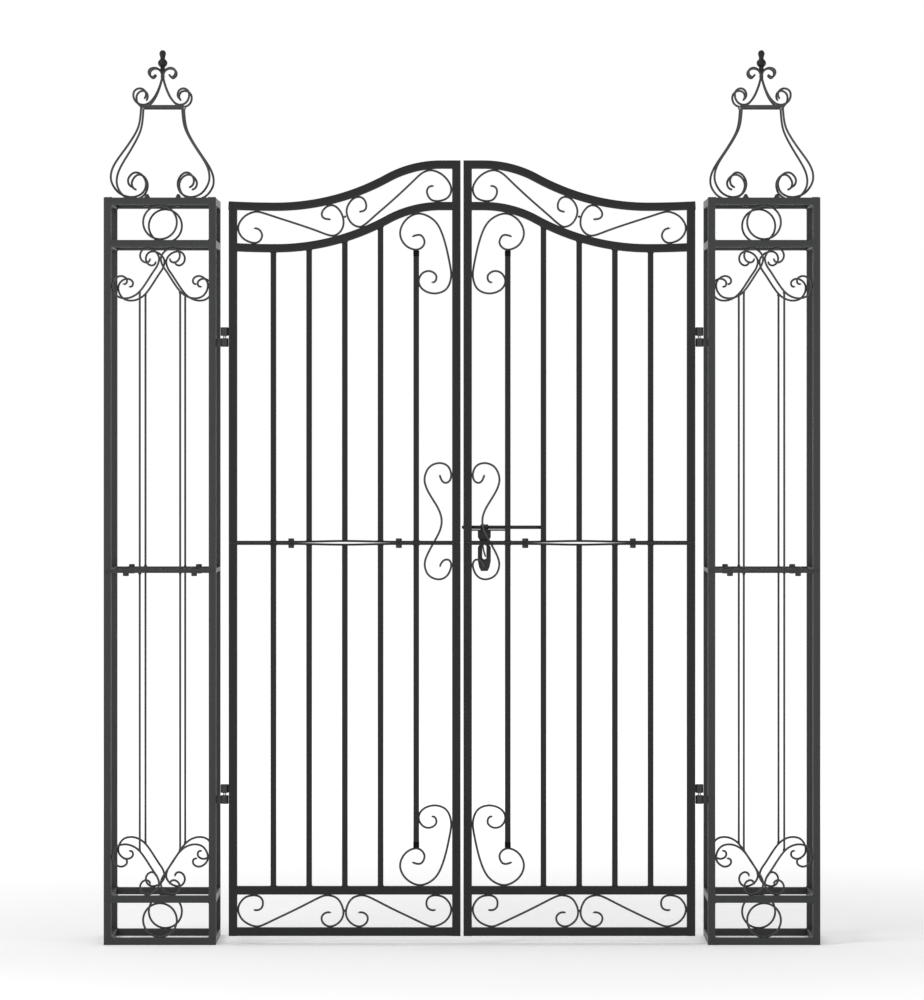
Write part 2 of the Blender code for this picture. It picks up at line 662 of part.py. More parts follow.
# ---------------------------------------------------------------- hinges
def make_hinges(side, swing):
    """Lift-off hinges: a pintle with its pin on the column, and an eye on the leaf that drops over it."""
    x = side * PIVOT_U
    column_face = COLUMN_OUTER_X - COLUMN_SIZE
    for label, low in zip(("lower", "upper"), HINGE_Z):
        seat = low + HINGE_BARREL
        eye_low = seat + HINGE_LIGHT
        barrel = cylinder("barrel", (x, LEAF_Y, low + HINGE_BARREL / 2), BARREL_R, HINGE_BARREL)
        lug = box("lug", mirrored(side, PIVOT_U + 1, column_face - GAP), span(LEAF_Y, 3),
                  (low + 0.4, seat - 0.4))
        pin = cylinder("pin", (x, LEAF_Y, (seat + eye_low + HINGE_BARREL) / 2 - 1), PIN_R,
                       eye_low + HINGE_BARREL - seat + 2)
        place_piece(fuse("%s_%s_hinge_pintle" % (SIDE[side], label), [barrel, lug, pin]), "hinge_paint")
        eye = cylinder("eye", (x, LEAF_Y, eye_low + HINGE_BARREL / 2), BARREL_R, HINGE_BARREL)
        tab = box("tab", mirrored(side, LEAF_OUTER_U + GAP, PIVOT_U - 4.4), span(LEAF_Y, 3.4),
                  (eye_low + 0.4, eye_low + HINGE_BARREL - 0.4))
        made = fuse("%s_%s_hinge_eye" % (SIDE[side], label), [eye, tab])
        bore(made, cylinder("bore", (x, LEAF_Y, eye_low + HINGE_BARREL / 2), PIN_R + GAP, 30))
        place_piece(made, "hinge_paint", swing)


# ---------------------------------------------------------------- slide bolt
def guide_eye(name, x, parent):
    """A small welded block with a bore for the bolt, standing on the back of a tube."""
    back = LEAF_Y + (LEAF_BAR if abs(x) > 50 else LEAF_TUBE) / 2 + GAP
    half = BOLT_R + GAP + 2.0
    block = box(name, span(x, 2.3), (back, BOLT_Y + half), span(BOLT_Z, half))
    bore(block, cylinder("bore", (x, BOLT_Y, BOLT_Z), BOLT_R + GAP, 20, axis="X"))
    return place_piece(block, "bolt_black", parent)


def keeper_eye(name, x, parent):
    """The bolt's keeper on the other leaf: a block with a roomy square hole."""
    back = LEAF_Y + LEAF_TUBE / 2 + GAP
    hole = BOLT_R + KEEPER_PLAY
    block = box(name, span(x, 2.3), (back, BOLT_Y + hole + 2.0), span(BOLT_Z, hole + 2.0))
    bore(block, box("hole", span(x, 10), span(BOLT_Y, hole), span(BOLT_Z, hole)))
    return place_piece(block, "bolt_black", parent)


def drop_handle(parent):
    """The slotted plate that hangs from the bolt on a short knuckle."""
    neck, wide = 8.0, 11.6
    half = [(wide, 738.5), (wide, 726), (neck, 719.5), (neck, 713.5), (wide, 708), (wide, 683),
            (9.4, 672.5), (6.2, 665.4)]
    outer = [(HANDLE_X + v, z) for v, z in half] + [(HANDLE_X - v, z) for v, z in half[::-1]]
    slot_r, slot_top, slot_low = 3.7, 708.3, 690.2
    slot = []
    for k in range(13):
        angle = math.pi * k / 6
        middle = slot_top if k <= 6 else slot_low
        if k == 6:
            slot.append((HANDLE_X - slot_r, slot_top))
        slot.append((HANDLE_X + slot_r * math.cos(angle), middle + slot_r * math.sin(angle)))
    plate = outline("plate", [outer, slot[:-1]], BOLT_Y, 4.0)
    knuckle = cylinder("knuckle", (HANDLE_X, BOLT_Y, BOLT_Z), 5.3, 14.0, axis="X")
    neck_box = box("neck", span(HANDLE_X, 7.0), span(BOLT_Y, 1.9), (734, BOLT_Z - 4.3))
    made = fuse("drop_handle", [plate, neck_box, knuckle])
    bore(made, cylinder("bore", (HANDLE_X, BOLT_Y, BOLT_Z), BOLT_R + GAP, 40, axis="X"))
    return place_piece(made, "bolt_black", parent)


def make_latch(left_swing, right_swing):
    slide = joint_empty("bolt_slide_axis", (BOLT_END_X / 2, BOLT_Y, BOLT_Z), right_swing)
    drop = joint_empty("handle_axis", (HANDLE_X, BOLT_Y, BOLT_Z), slide)
    length = BOLT_END_X - BOLT_TIP_X
    rod = cylinder("bolt_rod", ((BOLT_TIP_X + BOLT_END_X) / 2, BOLT_Y, BOLT_Z), BOLT_R, length, axis="X")
    place_piece(rod, "bolt_black", slide)
    drop_handle(drop)
    keeper_eye("left_keeper_eye", -10.1, left_swing)
    guide_eye("stile_guide_eye", 5.2, right_swing)
    guide_eye("bar_guide_eye", BAR_FIRST_U, right_swing)


# ---------------------------------------------------------------- assembly
SIDE = {-1: "left", 1: "right"}

clear_scene()
GATE = new_collection("garden_gate")
WORK = new_collection("work")
MATERIALS = {name: paint(name, *values) for name, values in FINISHES.items()}

swings = {side: joint_empty("%s_leaf_axis" % SIDE[side], (side * PIVOT_U, LEAF_Y, 0)) for side in (-1, 1)}
for gate_side in (-1, 1):
    make_column(gate_side)
    make_crown(gate_side)
    make_leaf(gate_side, swings[gate_side])
    make_hinges(gate_side, swings[gate_side])
make_latch(swings[-1], swings[1])
bpy.data.collections.remove(WORK)
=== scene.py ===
"""Looks of a double garden gate: two lattice columns with wire crowns, two ogee leaves and a slide bolt.

The gate's sizes are in millimetres and become metres where a mesh is made; those of the node trees, the
finishes and the studio are in metres.  The origin is on the ground, midway between the columns, +X to the
right, +Y away, +Z up.  On a leaf, u is measured outwards from the meeting line.  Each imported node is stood
for by a finer piece.  The scroll wires are eased against the bars that they are welded to, and lie up to
about 7 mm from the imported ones.
"""

import logging
import math
from dataclasses import dataclass, field
from enum import Enum
from typing import Callable, Sequence

import bmesh
import bpy
from mathutils import Matrix, Vector


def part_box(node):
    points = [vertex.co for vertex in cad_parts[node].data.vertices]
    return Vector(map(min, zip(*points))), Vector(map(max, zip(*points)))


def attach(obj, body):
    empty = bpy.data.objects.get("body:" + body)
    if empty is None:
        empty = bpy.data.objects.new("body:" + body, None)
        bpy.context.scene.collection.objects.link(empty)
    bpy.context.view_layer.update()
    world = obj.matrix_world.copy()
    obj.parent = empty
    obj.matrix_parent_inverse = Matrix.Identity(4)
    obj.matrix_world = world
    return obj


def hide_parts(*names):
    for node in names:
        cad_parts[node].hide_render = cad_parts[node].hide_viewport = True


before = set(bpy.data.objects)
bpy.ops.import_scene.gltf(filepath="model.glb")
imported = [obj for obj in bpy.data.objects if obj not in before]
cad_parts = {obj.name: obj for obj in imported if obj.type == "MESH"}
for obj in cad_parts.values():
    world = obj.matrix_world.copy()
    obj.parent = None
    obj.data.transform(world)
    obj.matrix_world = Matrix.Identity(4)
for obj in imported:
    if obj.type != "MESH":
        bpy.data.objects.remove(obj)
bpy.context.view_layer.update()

LOG = logging.getLogger("garden_gate")
MM = 0.001
WELD_DISTANCE = 0.000002
FLOAT = "NodeSocketFloat"
VECTOR = "NodeSocketVector"
COLOUR = "NodeSocketColor"
WHOLE = "NodeSocketInt"
GEOMETRY = "NodeSocketGeometry"

Flat = tuple[float, float]
Place = tuple[float, float, float]
Colour = tuple[float, float, float]
Inputs = Sequence[tuple[str, str, object]]
Values = dict[object, object]
Reach = Callable[[float, float], tuple[float, float, float]]


class Side(Enum):
    """Which column or leaf: the value is the sign of its x."""

    LEFT = -1
    RIGHT = 1


class Half(Enum):
    """Which half of a column or leaf: the value is the sign of its distance from the joint."""

    LOWER = -1
    UPPER = 1


class Facing(Enum):
    """The direction across a bar that its section's width is square to."""

    FRONT = (0.0, 1.0, 0.0)
    TOP = (0.0, 0.0, 1.0)


# ---------------------------------------------------------------- nodes and objects
def add_node(tree: bpy.types.NodeTree, kind: str, values: Values | None = None,
             **settings: object) -> bpy.types.Node:
    """Add a node to any tree, set its properties and fill or link its inputs.

    Args:
        tree: the tree that takes the node.
        kind: the node's type.
        values: what each input takes, by its name or number: a constant or an output socket.
        **settings: properties of the node.

    Returns:
        The new node.
    """
    made = tree.nodes.new(kind)
    for label, value in settings.items():
        setattr(made, label, value)
    for key, value in (values or {}).items():
        if isinstance(value, bpy.types.NodeSocket):
            tree.links.new(value, made.inputs[key])
        else:
            made.inputs[key].default_value = value
    return made


class NodeGroup:
    """A node group under construction, with named inputs and outputs."""

    def __init__(self, name: str, kind: str, inputs: Inputs, outputs: Sequence[tuple[str, str]]) -> None:
        """Make the group and its sockets.

        Args:
            name: the group's name.
            kind: the type of its tree.
            inputs: the name, socket type and starting value of each input.
            outputs: the name and socket type of each output.
        """
        self.tree = bpy.data.node_groups.new(name, kind)
        self.identifiers: dict[str, str] = {}
        for label, socket_type, value in inputs:
            socket = self.tree.interface.new_socket(label, in_out="INPUT", socket_type=socket_type)
            if value is not None:
                socket.default_value = value
            self.identifiers[label] = socket.identifier
        for label, socket_type in outputs:
            self.tree.interface.new_socket(label, in_out="OUTPUT", socket_type=socket_type)
        self.entry = self.tree.nodes.new("NodeGroupInput")
        self.exit = self.tree.nodes.new("NodeGroupOutput")

    def take(self, name: str) -> bpy.types.NodeSocket:
        """Return the socket that carries the named input."""
        return self.entry.outputs[name]

    def give(self, name: str, socket: bpy.types.NodeSocket) -> None:
        """Send a socket to the named output."""
        self.tree.links.new(socket, self.exit.inputs[name])

    def node(self, kind: str, values: Values | None = None, **settings: object) -> bpy.types.Node:
        """Add a node to the group, as add_node does."""
        return add_node(self.tree, kind, values, **settings)

    def reckon(self, a: object, b: object, operation: str = "ADD",
               clamp: bool = False) -> bpy.types.NodeSocket:
        """Return the result of one piece of arithmetic on two values or sockets."""
        return self.node("ShaderNodeMath", {0: a, 1: b}, operation=operation, use_clamp=clamp).outputs[0]


def shader_group(name: str, inputs: Inputs, outputs: Sequence[tuple[str, str]]) -> NodeGroup:
    """Return a new shader group whose first input is the place that its textures are read at."""
    return NodeGroup(name, "ShaderNodeTree", [("Vector", VECTOR, None), *inputs], outputs)


def linked(name: str, data: bpy.types.ID) -> bpy.types.Object:
    """Return a new object in the scene that carries the data."""
    made = bpy.data.objects.new(name, data)
    bpy.context.scene.collection.objects.link(made)
    return made


def evaluated_mesh(carrier: bpy.types.Object) -> bpy.types.Mesh:
    """Return a plain mesh of an object with its modifiers applied; the object is used up."""
    bpy.context.view_layer.update()
    graph = bpy.context.evaluated_depsgraph_get()
    mesh = bpy.data.meshes.new_from_object(carrier.evaluated_get(graph), depsgraph=graph)
    bpy.data.objects.remove(carrier, do_unlink=True)
    return mesh


# ---------------------------------------------------------------- shader groups
def grain_group() -> bpy.types.NodeTree:
    """Build the orange-peel grain of a baked powder coat.

    Returns:
        A group that puts out a height in metres and a mask of tiny gloss changes.
    """
    group = shader_group("powder_grain", [("Per Metre", FLOAT, 700.0), ("Depth", FLOAT, 0.00002)],
                         [("Height", FLOAT), ("Gloss", FLOAT)])
    vector = group.take("Vector")
    per_metre = group.take("Per Metre")
    peel = group.node("ShaderNodeTexNoise", {"Vector": vector, "Scale": per_metre, "Detail": 1.5,
                                             "Roughness": 0.45})
    finer = group.reckon(per_metre, 3.7, "MULTIPLY")
    speck = group.node("ShaderNodeTexNoise", {"Vector": vector, "Scale": finer, "Detail": 1.0})
    both = group.node("ShaderNodeMath", {0: speck.outputs["Fac"], 1: 0.22, 2: peel.outputs["Fac"]},
                      operation="MULTIPLY_ADD")
    group.give("Height", group.reckon(both.outputs[0], group.take("Depth"), "MULTIPLY"))
    group.give("Gloss", speck.outputs["Fac"])
    return group.tree


def wear_group() -> bpy.types.NodeTree:
    """Build the thinning of a coat along edges.

    Returns:
        A group that turns an edge mask into a broken, patchy one.
    """
    group = shader_group("edge_wear", [("Edge", FLOAT, 0.0), ("Patches", FLOAT, 60.0),
                                       ("Amount", FLOAT, 0.3)], [("Mask", FLOAT)])
    patch = group.node("ShaderNodeTexNoise", {"Vector": group.take("Vector"),
                                              "Scale": group.take("Patches"), "Detail": 5.0,
                                              "Roughness": 0.65})
    broken = group.node("ShaderNodeMapRange", {"Value": patch.outputs["Fac"], "From Min": 0.42,
                                               "From Max": 0.72})
    worn = group.reckon(group.reckon(group.take("Edge"), 3.0, "POWER"), broken.outputs[0], "MULTIPLY")
    group.give("Mask", group.reckon(worn, group.take("Amount"), "MULTIPLY", clamp=True))
    return group.tree


def dust_group() -> bpy.types.NodeTree:
    """Build the thin dust that settles on faces turned up.

    Returns:
        A group that puts out where the dust lies.
    """
    group = shader_group("settled_dust", [("Patches", FLOAT, 25.0), ("Amount", FLOAT, 0.2)],
                         [("Mask", FLOAT)])
    shape = group.node("ShaderNodeNewGeometry")
    parts = group.node("ShaderNodeSeparateXYZ", {"Vector": shape.outputs["Normal"]})
    upward = group.node("ShaderNodeMapRange", {"Value": parts.outputs["Z"], "From Min": 0.55,
                                               "From Max": 1.0})
    cloud = group.node("ShaderNodeTexNoise", {"Vector": group.take("Vector"),
                                              "Scale": group.take("Patches"), "Detail": 4.0})
    lying = group.reckon(upward.outputs[0], cloud.outputs["Fac"], "MULTIPLY")
    group.give("Mask", group.reckon(lying, group.take("Amount"), "MULTIPLY", clamp=True))
    return group.tree


def drift_group() -> bpy.types.NodeTree:
    """Build the slow change of tone over a large coated surface.

    Returns:
        A group that puts out a colour between two, and the same drift as a value.
    """
    group = shader_group("tone_drift", [("Dark", COLOUR, None), ("Light", COLOUR, None),
                                        ("Patches", FLOAT, 9.0)], [("Colour", COLOUR), ("Drift", FLOAT)])
    cloud = group.node("ShaderNodeTexNoise", {"Vector": group.take("Vector"),
                                              "Scale": group.take("Patches"), "Detail": 3.0})
    blend = group.node("ShaderNodeMix", {"Factor": cloud.outputs["Fac"], 6: group.take("Dark"),
                                         7: group.take("Light")}, data_type="RGBA")
    group.give("Colour", blend.outputs[2])
    group.give("Drift", cloud.outputs["Fac"])
    return group.tree


# ---------------------------------------------------------------- finishes
DUST_COLOUR = (0.20, 0.19, 0.175, 1.0)
COAT_ROUGHNESS = 0.22


@dataclass(frozen=True)
class Finish:
    """One finish of the gate, and the material slot it belongs to."""

    name: str
    slot: str
    dark: Colour
    light: Colour
    roughness: float
    roughness_drift: float = 0.08
    metallic: float = 0.0
    specular: float = 0.38
    coat: float = 0.0
    grain_per_metre: float = 700.0
    grain_depth: float = 0.00003
    wear: float = 0.3
    worn: Colour = (0.11, 0.105, 0.10)
    dust: float = 0.12

    def material(self, groups: dict[str, bpy.types.NodeTree]) -> bpy.types.Material:
        """Build the material from the shared groups.

        Args:
            groups: the shader groups by name.

        Returns:
            The finished material.
        """
        made = bpy.data.materials.new(self.name)
        made.use_nodes = True
        tree = made.node_tree
        shader = tree.nodes["Principled BSDF"]
        shader.inputs["Metallic"].default_value = self.metallic
        shader.inputs["Specular IOR Level"].default_value = self.specular
        shader.inputs["Coat Weight"].default_value = self.coat
        shader.inputs["Coat Roughness"].default_value = COAT_ROUGHNESS
        place = add_node(tree, "ShaderNodeTexCoord").outputs["Object"]
        rim = add_node(tree, "ShaderNodeAttribute", attribute_name="rim").outputs["Fac"]

        def shared(name: str, values: Values) -> bpy.types.Node:
            """Place one shared group in this material with its own values.

            Args:
                name: the group's name.
                values: what each of its inputs takes.

            Returns:
                The group's node.
            """
            return add_node(tree, "ShaderNodeGroup", values, node_tree=groups[name])

        tone = shared("tone_drift", {"Vector": place, "Dark": (*self.dark, 1.0),
                                     "Light": (*self.light, 1.0)})
        grain = shared("powder_grain", {"Vector": place, "Per Metre": self.grain_per_metre,
                                        "Depth": self.grain_depth})
        wear = shared("edge_wear", {"Vector": place, "Edge": rim, "Amount": self.wear})
        dust = shared("settled_dust", {"Vector": place, "Amount": self.dust})
        rubbed = add_node(tree, "ShaderNodeMix", {"Factor": wear.outputs["Mask"], 7: (*self.worn, 1.0)},
                          data_type="RGBA")
        tree.links.new(tone.outputs["Colour"], rubbed.inputs[6])
        dusty = add_node(tree, "ShaderNodeMix", {"Factor": dust.outputs["Mask"], 7: DUST_COLOUR},
                         data_type="RGBA")
        tree.links.new(rubbed.outputs[2], dusty.inputs[6])
        tree.links.new(dusty.outputs[2], shader.inputs["Base Color"])
        mixed = add_node(tree, "ShaderNodeMath", {0: grain.outputs["Gloss"], 1: tone.outputs["Drift"]},
                         operation="ADD")
        rough = add_node(tree, "ShaderNodeMapRange", {"Value": mixed.outputs[0],
                                                      "From Min": 0.6, "From Max": 1.4,
                                                      "To Min": self.roughness - self.roughness_drift,
                                                      "To Max": self.roughness + self.roughness_drift})
        dulled = add_node(tree, "ShaderNodeMath", {0: dust.outputs["Mask"], 1: 0.5, 2: rough.outputs[0]},
                          operation="MULTIPLY_ADD", use_clamp=True)
        tree.links.new(dulled.outputs[0], shader.inputs["Roughness"])
        bump = add_node(tree, "ShaderNodeBump", {"Height": grain.outputs["Height"], "Strength": 1.0,
                                                 "Distance": 1.0})
        tree.links.new(bump.outputs["Normal"], shader.inputs["Normal"])
        return made


COLUMN_COAT = Finish("column_powder_coat", "column_paint", (0.021, 0.022, 0.023), (0.031, 0.032, 0.034),
                     roughness=0.42)
LEAF_COAT = Finish("leaf_powder_coat", "leaf_paint", (0.008, 0.0085, 0.009), (0.014, 0.0145, 0.015),
                   roughness=0.42, specular=0.26, wear=0.18, dust=0.07)
WIRE_COAT = Finish("wire_powder_coat", "wire_paint", (0.030, 0.030, 0.031), (0.044, 0.044, 0.046),
                   roughness=0.36, grain_per_metre=900.0, grain_depth=0.00002, wear=0.0, dust=0.1)
CAST_COAT = Finish("cast_gloss_black", "cast_paint", (0.006, 0.006, 0.007), (0.011, 0.011, 0.012),
                   roughness=0.27, specular=0.2, coat=0.1, grain_per_metre=420.0, grain_depth=0.00006,
                   wear=0.0, dust=0.06)
HINGE_COAT = Finish("hinge_powder_coat", "hinge_paint", (0.018, 0.018, 0.019), (0.028, 0.028, 0.029),
                    roughness=0.40, wear=0.6, dust=0.1)
PIN_STEEL = Finish("bright_pin_steel", "hinge_paint", (0.52, 0.51, 0.49), (0.68, 0.67, 0.65),
                   roughness=0.28, metallic=1.0, specular=0.5, grain_per_metre=1600.0,
                   grain_depth=0.000008, wear=0.0, dust=0.0)
SCREW_BLACK = Finish("blackened_screw_steel", "screw_black", (0.016, 0.016, 0.017), (0.030, 0.030, 0.032),
                     roughness=0.34, metallic=0.35, specular=0.5, grain_per_metre=1500.0,
                     grain_depth=0.000012, wear=0.0, dust=0.08)
TIP_BLACK = Finish("tip_black_enamel", "leaf_paint", (0.002, 0.002, 0.002), (0.004, 0.004, 0.004),
                   roughness=0.60, specular=0.08, wear=0.0, dust=0.01)
BOLT_BLACK = Finish("bolt_black", "bolt_black", (0.012, 0.012, 0.013), (0.020, 0.020, 0.021),
                    roughness=0.33, metallic=0.2, grain_per_metre=1200.0, grain_depth=0.000015,
                    wear=0.5, dust=0.05)
FINISHES = (COLUMN_COAT, LEAF_COAT, WIRE_COAT, CAST_COAT, HINGE_COAT, PIN_STEEL, SCREW_BLACK,
            BOLT_BLACK, TIP_BLACK)


# ---------------------------------------------------------------- geometry node trees
class GrownTree(NodeGroup):
    """A Geometry Nodes tree that ends in Realize Instances and Set Material."""

    def __init__(self, name: str, inputs: Inputs) -> None:
        """Make the tree and its sockets.

        Args:
            name: the tree's name.
            inputs: the name, socket type and starting value of each input after Geometry.
        """
        every = [("Geometry", GEOMETRY, None), *inputs, ("Material", "NodeSocketMaterial", None)]
        super().__init__(name, "GeometryNodeTree", every, [("Geometry", GEOMETRY)])

    def close(self, geometry: bpy.types.NodeSocket) -> None:
        """End the tree with Realize Instances and Set Material.

        Args:
            geometry: the socket that carries the tree's result so far.
        """
        real = self.node("GeometryNodeRealizeInstances", {"Geometry": geometry})
        dressed = self.node("GeometryNodeSetMaterial", {"Geometry": real.outputs[0],
                                                        "Material": self.take("Material")})
        self.give("Geometry", dressed.outputs[0])

    def sweep(self, curve: bpy.types.Node, section: bpy.types.Node, scale: object = 1.0) -> None:
        """Run a section along a curve and end the tree.

        Args:
            curve: the node that puts out the curve.
            section: the node that puts out the section.
            scale: the share of the section's size at each point.
        """
        solid = self.node("GeometryNodeCurveToMesh", {"Curve": curve.outputs[0],
                                                      "Profile Curve": section.outputs[0],
                                                      "Scale": scale, "Fill Caps": True})
        self.close(solid.outputs[0])

    def grow(self, base: bpy.types.Mesh, material: bpy.types.Material,
             values: dict[str, object]) -> bpy.types.Mesh:
        """Run the tree on a mesh.

        Args:
            base: the points or paths that the tree works on.
            material: the finish of the result.
            values: what each named input takes.

        Returns:
            The result as a plain mesh.
        """
        carrier = linked("carrier", base)
        modifier = carrier.modifiers.new("grow", "NODES")
        modifier.node_group = self.tree
        for label, value in {**values, "Material": material}.items():
            modifier[self.identifiers[label]] = value
        grown = evaluated_mesh(carrier)
        bpy.data.meshes.remove(base)
        return grown


def bar_tree() -> GrownTree:
    """Build the tree that runs a rounded rectangular section along paths.

    Returns:
        The tree; it also marks the section's corners in the attribute "rim".
    """
    grown = GrownTree("square_bar", [("Width", FLOAT, 0.015),
                                     ("Depth", FLOAT, 0.015),
                                     ("Corner", FLOAT, 0.0012),
                                     ("Facing", VECTOR, (0.0, 1.0, 0.0))])
    path = grown.node("GeometryNodeMeshToCurve", {"Mesh": grown.take("Geometry")})
    turned = grown.node("GeometryNodeSetCurveNormal", {"Curve": path.outputs[0],
                                                       "Normal": grown.take("Facing")}, mode="FREE")
    section = grown.node("GeometryNodeCurvePrimitiveQuadrilateral", {"Width": grown.take("Width"),
                                                                     "Height": grown.take("Depth")})
    rounded = grown.node("GeometryNodeFilletCurve", {"Curve": section.outputs[0], "Count": 3,
                                                     "Radius": grown.take("Corner")}, mode="POLY")
    finer = grown.node("GeometryNodeSubdivideCurve", {"Curve": rounded.outputs[0], "Cuts": 2})
    place = grown.node("GeometryNodeInputPosition")
    parts = grown.node("ShaderNodeSeparateXYZ", {"Vector": place.outputs[0]})
    across = grown.reckon(grown.reckon(parts.outputs[0], 0.0, "ABSOLUTE"), grown.take("Width"), "DIVIDE")
    along = grown.reckon(grown.reckon(parts.outputs[1], 0.0, "ABSOLUTE"), grown.take("Depth"), "DIVIDE")
    least = grown.reckon(across, along, "MINIMUM")
    rim = grown.node("ShaderNodeMapRange", {"Value": least, "From Min": 0.25, "From Max": 0.46})
    marked = grown.node("GeometryNodeStoreNamedAttribute", {"Geometry": finer.outputs[0], "Name": "rim",
                                                            "Value": rim.outputs[0]})
    grown.sweep(turned, marked)
    return grown


def wire_tree() -> GrownTree:
    """Build the tree that makes bent round wire; the attribute "taper" rounds off its cut ends.

    Returns:
        The tree.
    """
    grown = GrownTree("bent_wire", [("Radius", FLOAT, 0.002), ("Sides", WHOLE, 14)])
    path = grown.node("GeometryNodeMeshToCurve", {"Mesh": grown.take("Geometry")})
    section = grown.node("GeometryNodeCurvePrimitiveCircle", {"Resolution": grown.take("Sides"),
                                                              "Radius": grown.take("Radius")})
    taper = grown.node("GeometryNodeInputNamedAttribute", {"Name": "taper"}, data_type="FLOAT")
    grown.sweep(path, section, taper.outputs[0])
    return grown


def bead_tree() -> GrownTree:
    """Build the tree that lays a rippled weld bead along paths.

    Returns:
        The tree.
    """
    grown = GrownTree("weld_bead", [("Radius", FLOAT, 0.0012),
                                    ("Step", FLOAT, 0.0009),
                                    ("Wander", FLOAT, 0.0004)])
    path = grown.node("GeometryNodeMeshToCurve", {"Mesh": grown.take("Geometry")})
    even = grown.node("GeometryNodeResampleCurve", {"Curve": path.outputs[0],
                                                    "Length": grown.take("Step")}, mode="LENGTH")
    ripple = grown.node("ShaderNodeTexNoise", {"Scale": 620.0, "Detail": 1.0})
    middle = grown.node("ShaderNodeVectorMath", {0: ripple.outputs["Color"], 1: (0.5, 0.5, 0.5)},
                        operation="SUBTRACT")
    shift = grown.node("ShaderNodeVectorMath", {0: middle.outputs[0]}, operation="SCALE")
    grown.tree.links.new(grown.take("Wander"), shift.inputs["Scale"])
    moved = grown.node("GeometryNodeSetPosition", {"Geometry": even.outputs[0], "Offset": shift.outputs[0]})
    swell = grown.node("ShaderNodeMapRange", {"Value": ripple.outputs["Fac"],
                                              "From Min": 0.25, "From Max": 0.75,
                                              "To Min": 0.72, "To Max": 1.25})
    section = grown.node("GeometryNodeCurvePrimitiveCircle", {"Resolution": 7,
                                                              "Radius": grown.take("Radius")})
    grown.sweep(moved, section, swell.outputs[0])
    return grown


def spot_tree() -> GrownTree:
    """Build the tree that puts a small uneven weld spot on each point.

    Returns:
        The tree.
    """
    grown = GrownTree("weld_spot", [("Radius", FLOAT, 0.0024), ("Seed", WHOLE, 7)])
    blob = grown.node("GeometryNodeMeshUVSphere", {"Segments": 12, "Rings": 8,
                                                   "Radius": grown.take("Radius")})
    size = grown.node("FunctionNodeRandomValue", {"Min": (0.85, 0.75, 0.85), "Max": (1.2, 1.0, 1.2),
                                                  "Seed": grown.take("Seed")}, data_type="FLOAT_VECTOR")
    spread = grown.node("GeometryNodeInstanceOnPoints", {"Points": grown.take("Geometry"),
                                                         "Instance": blob.outputs[0],
                                                         "Scale": size.outputs[0]})
    grown.close(spread.outputs[0])
    return grown


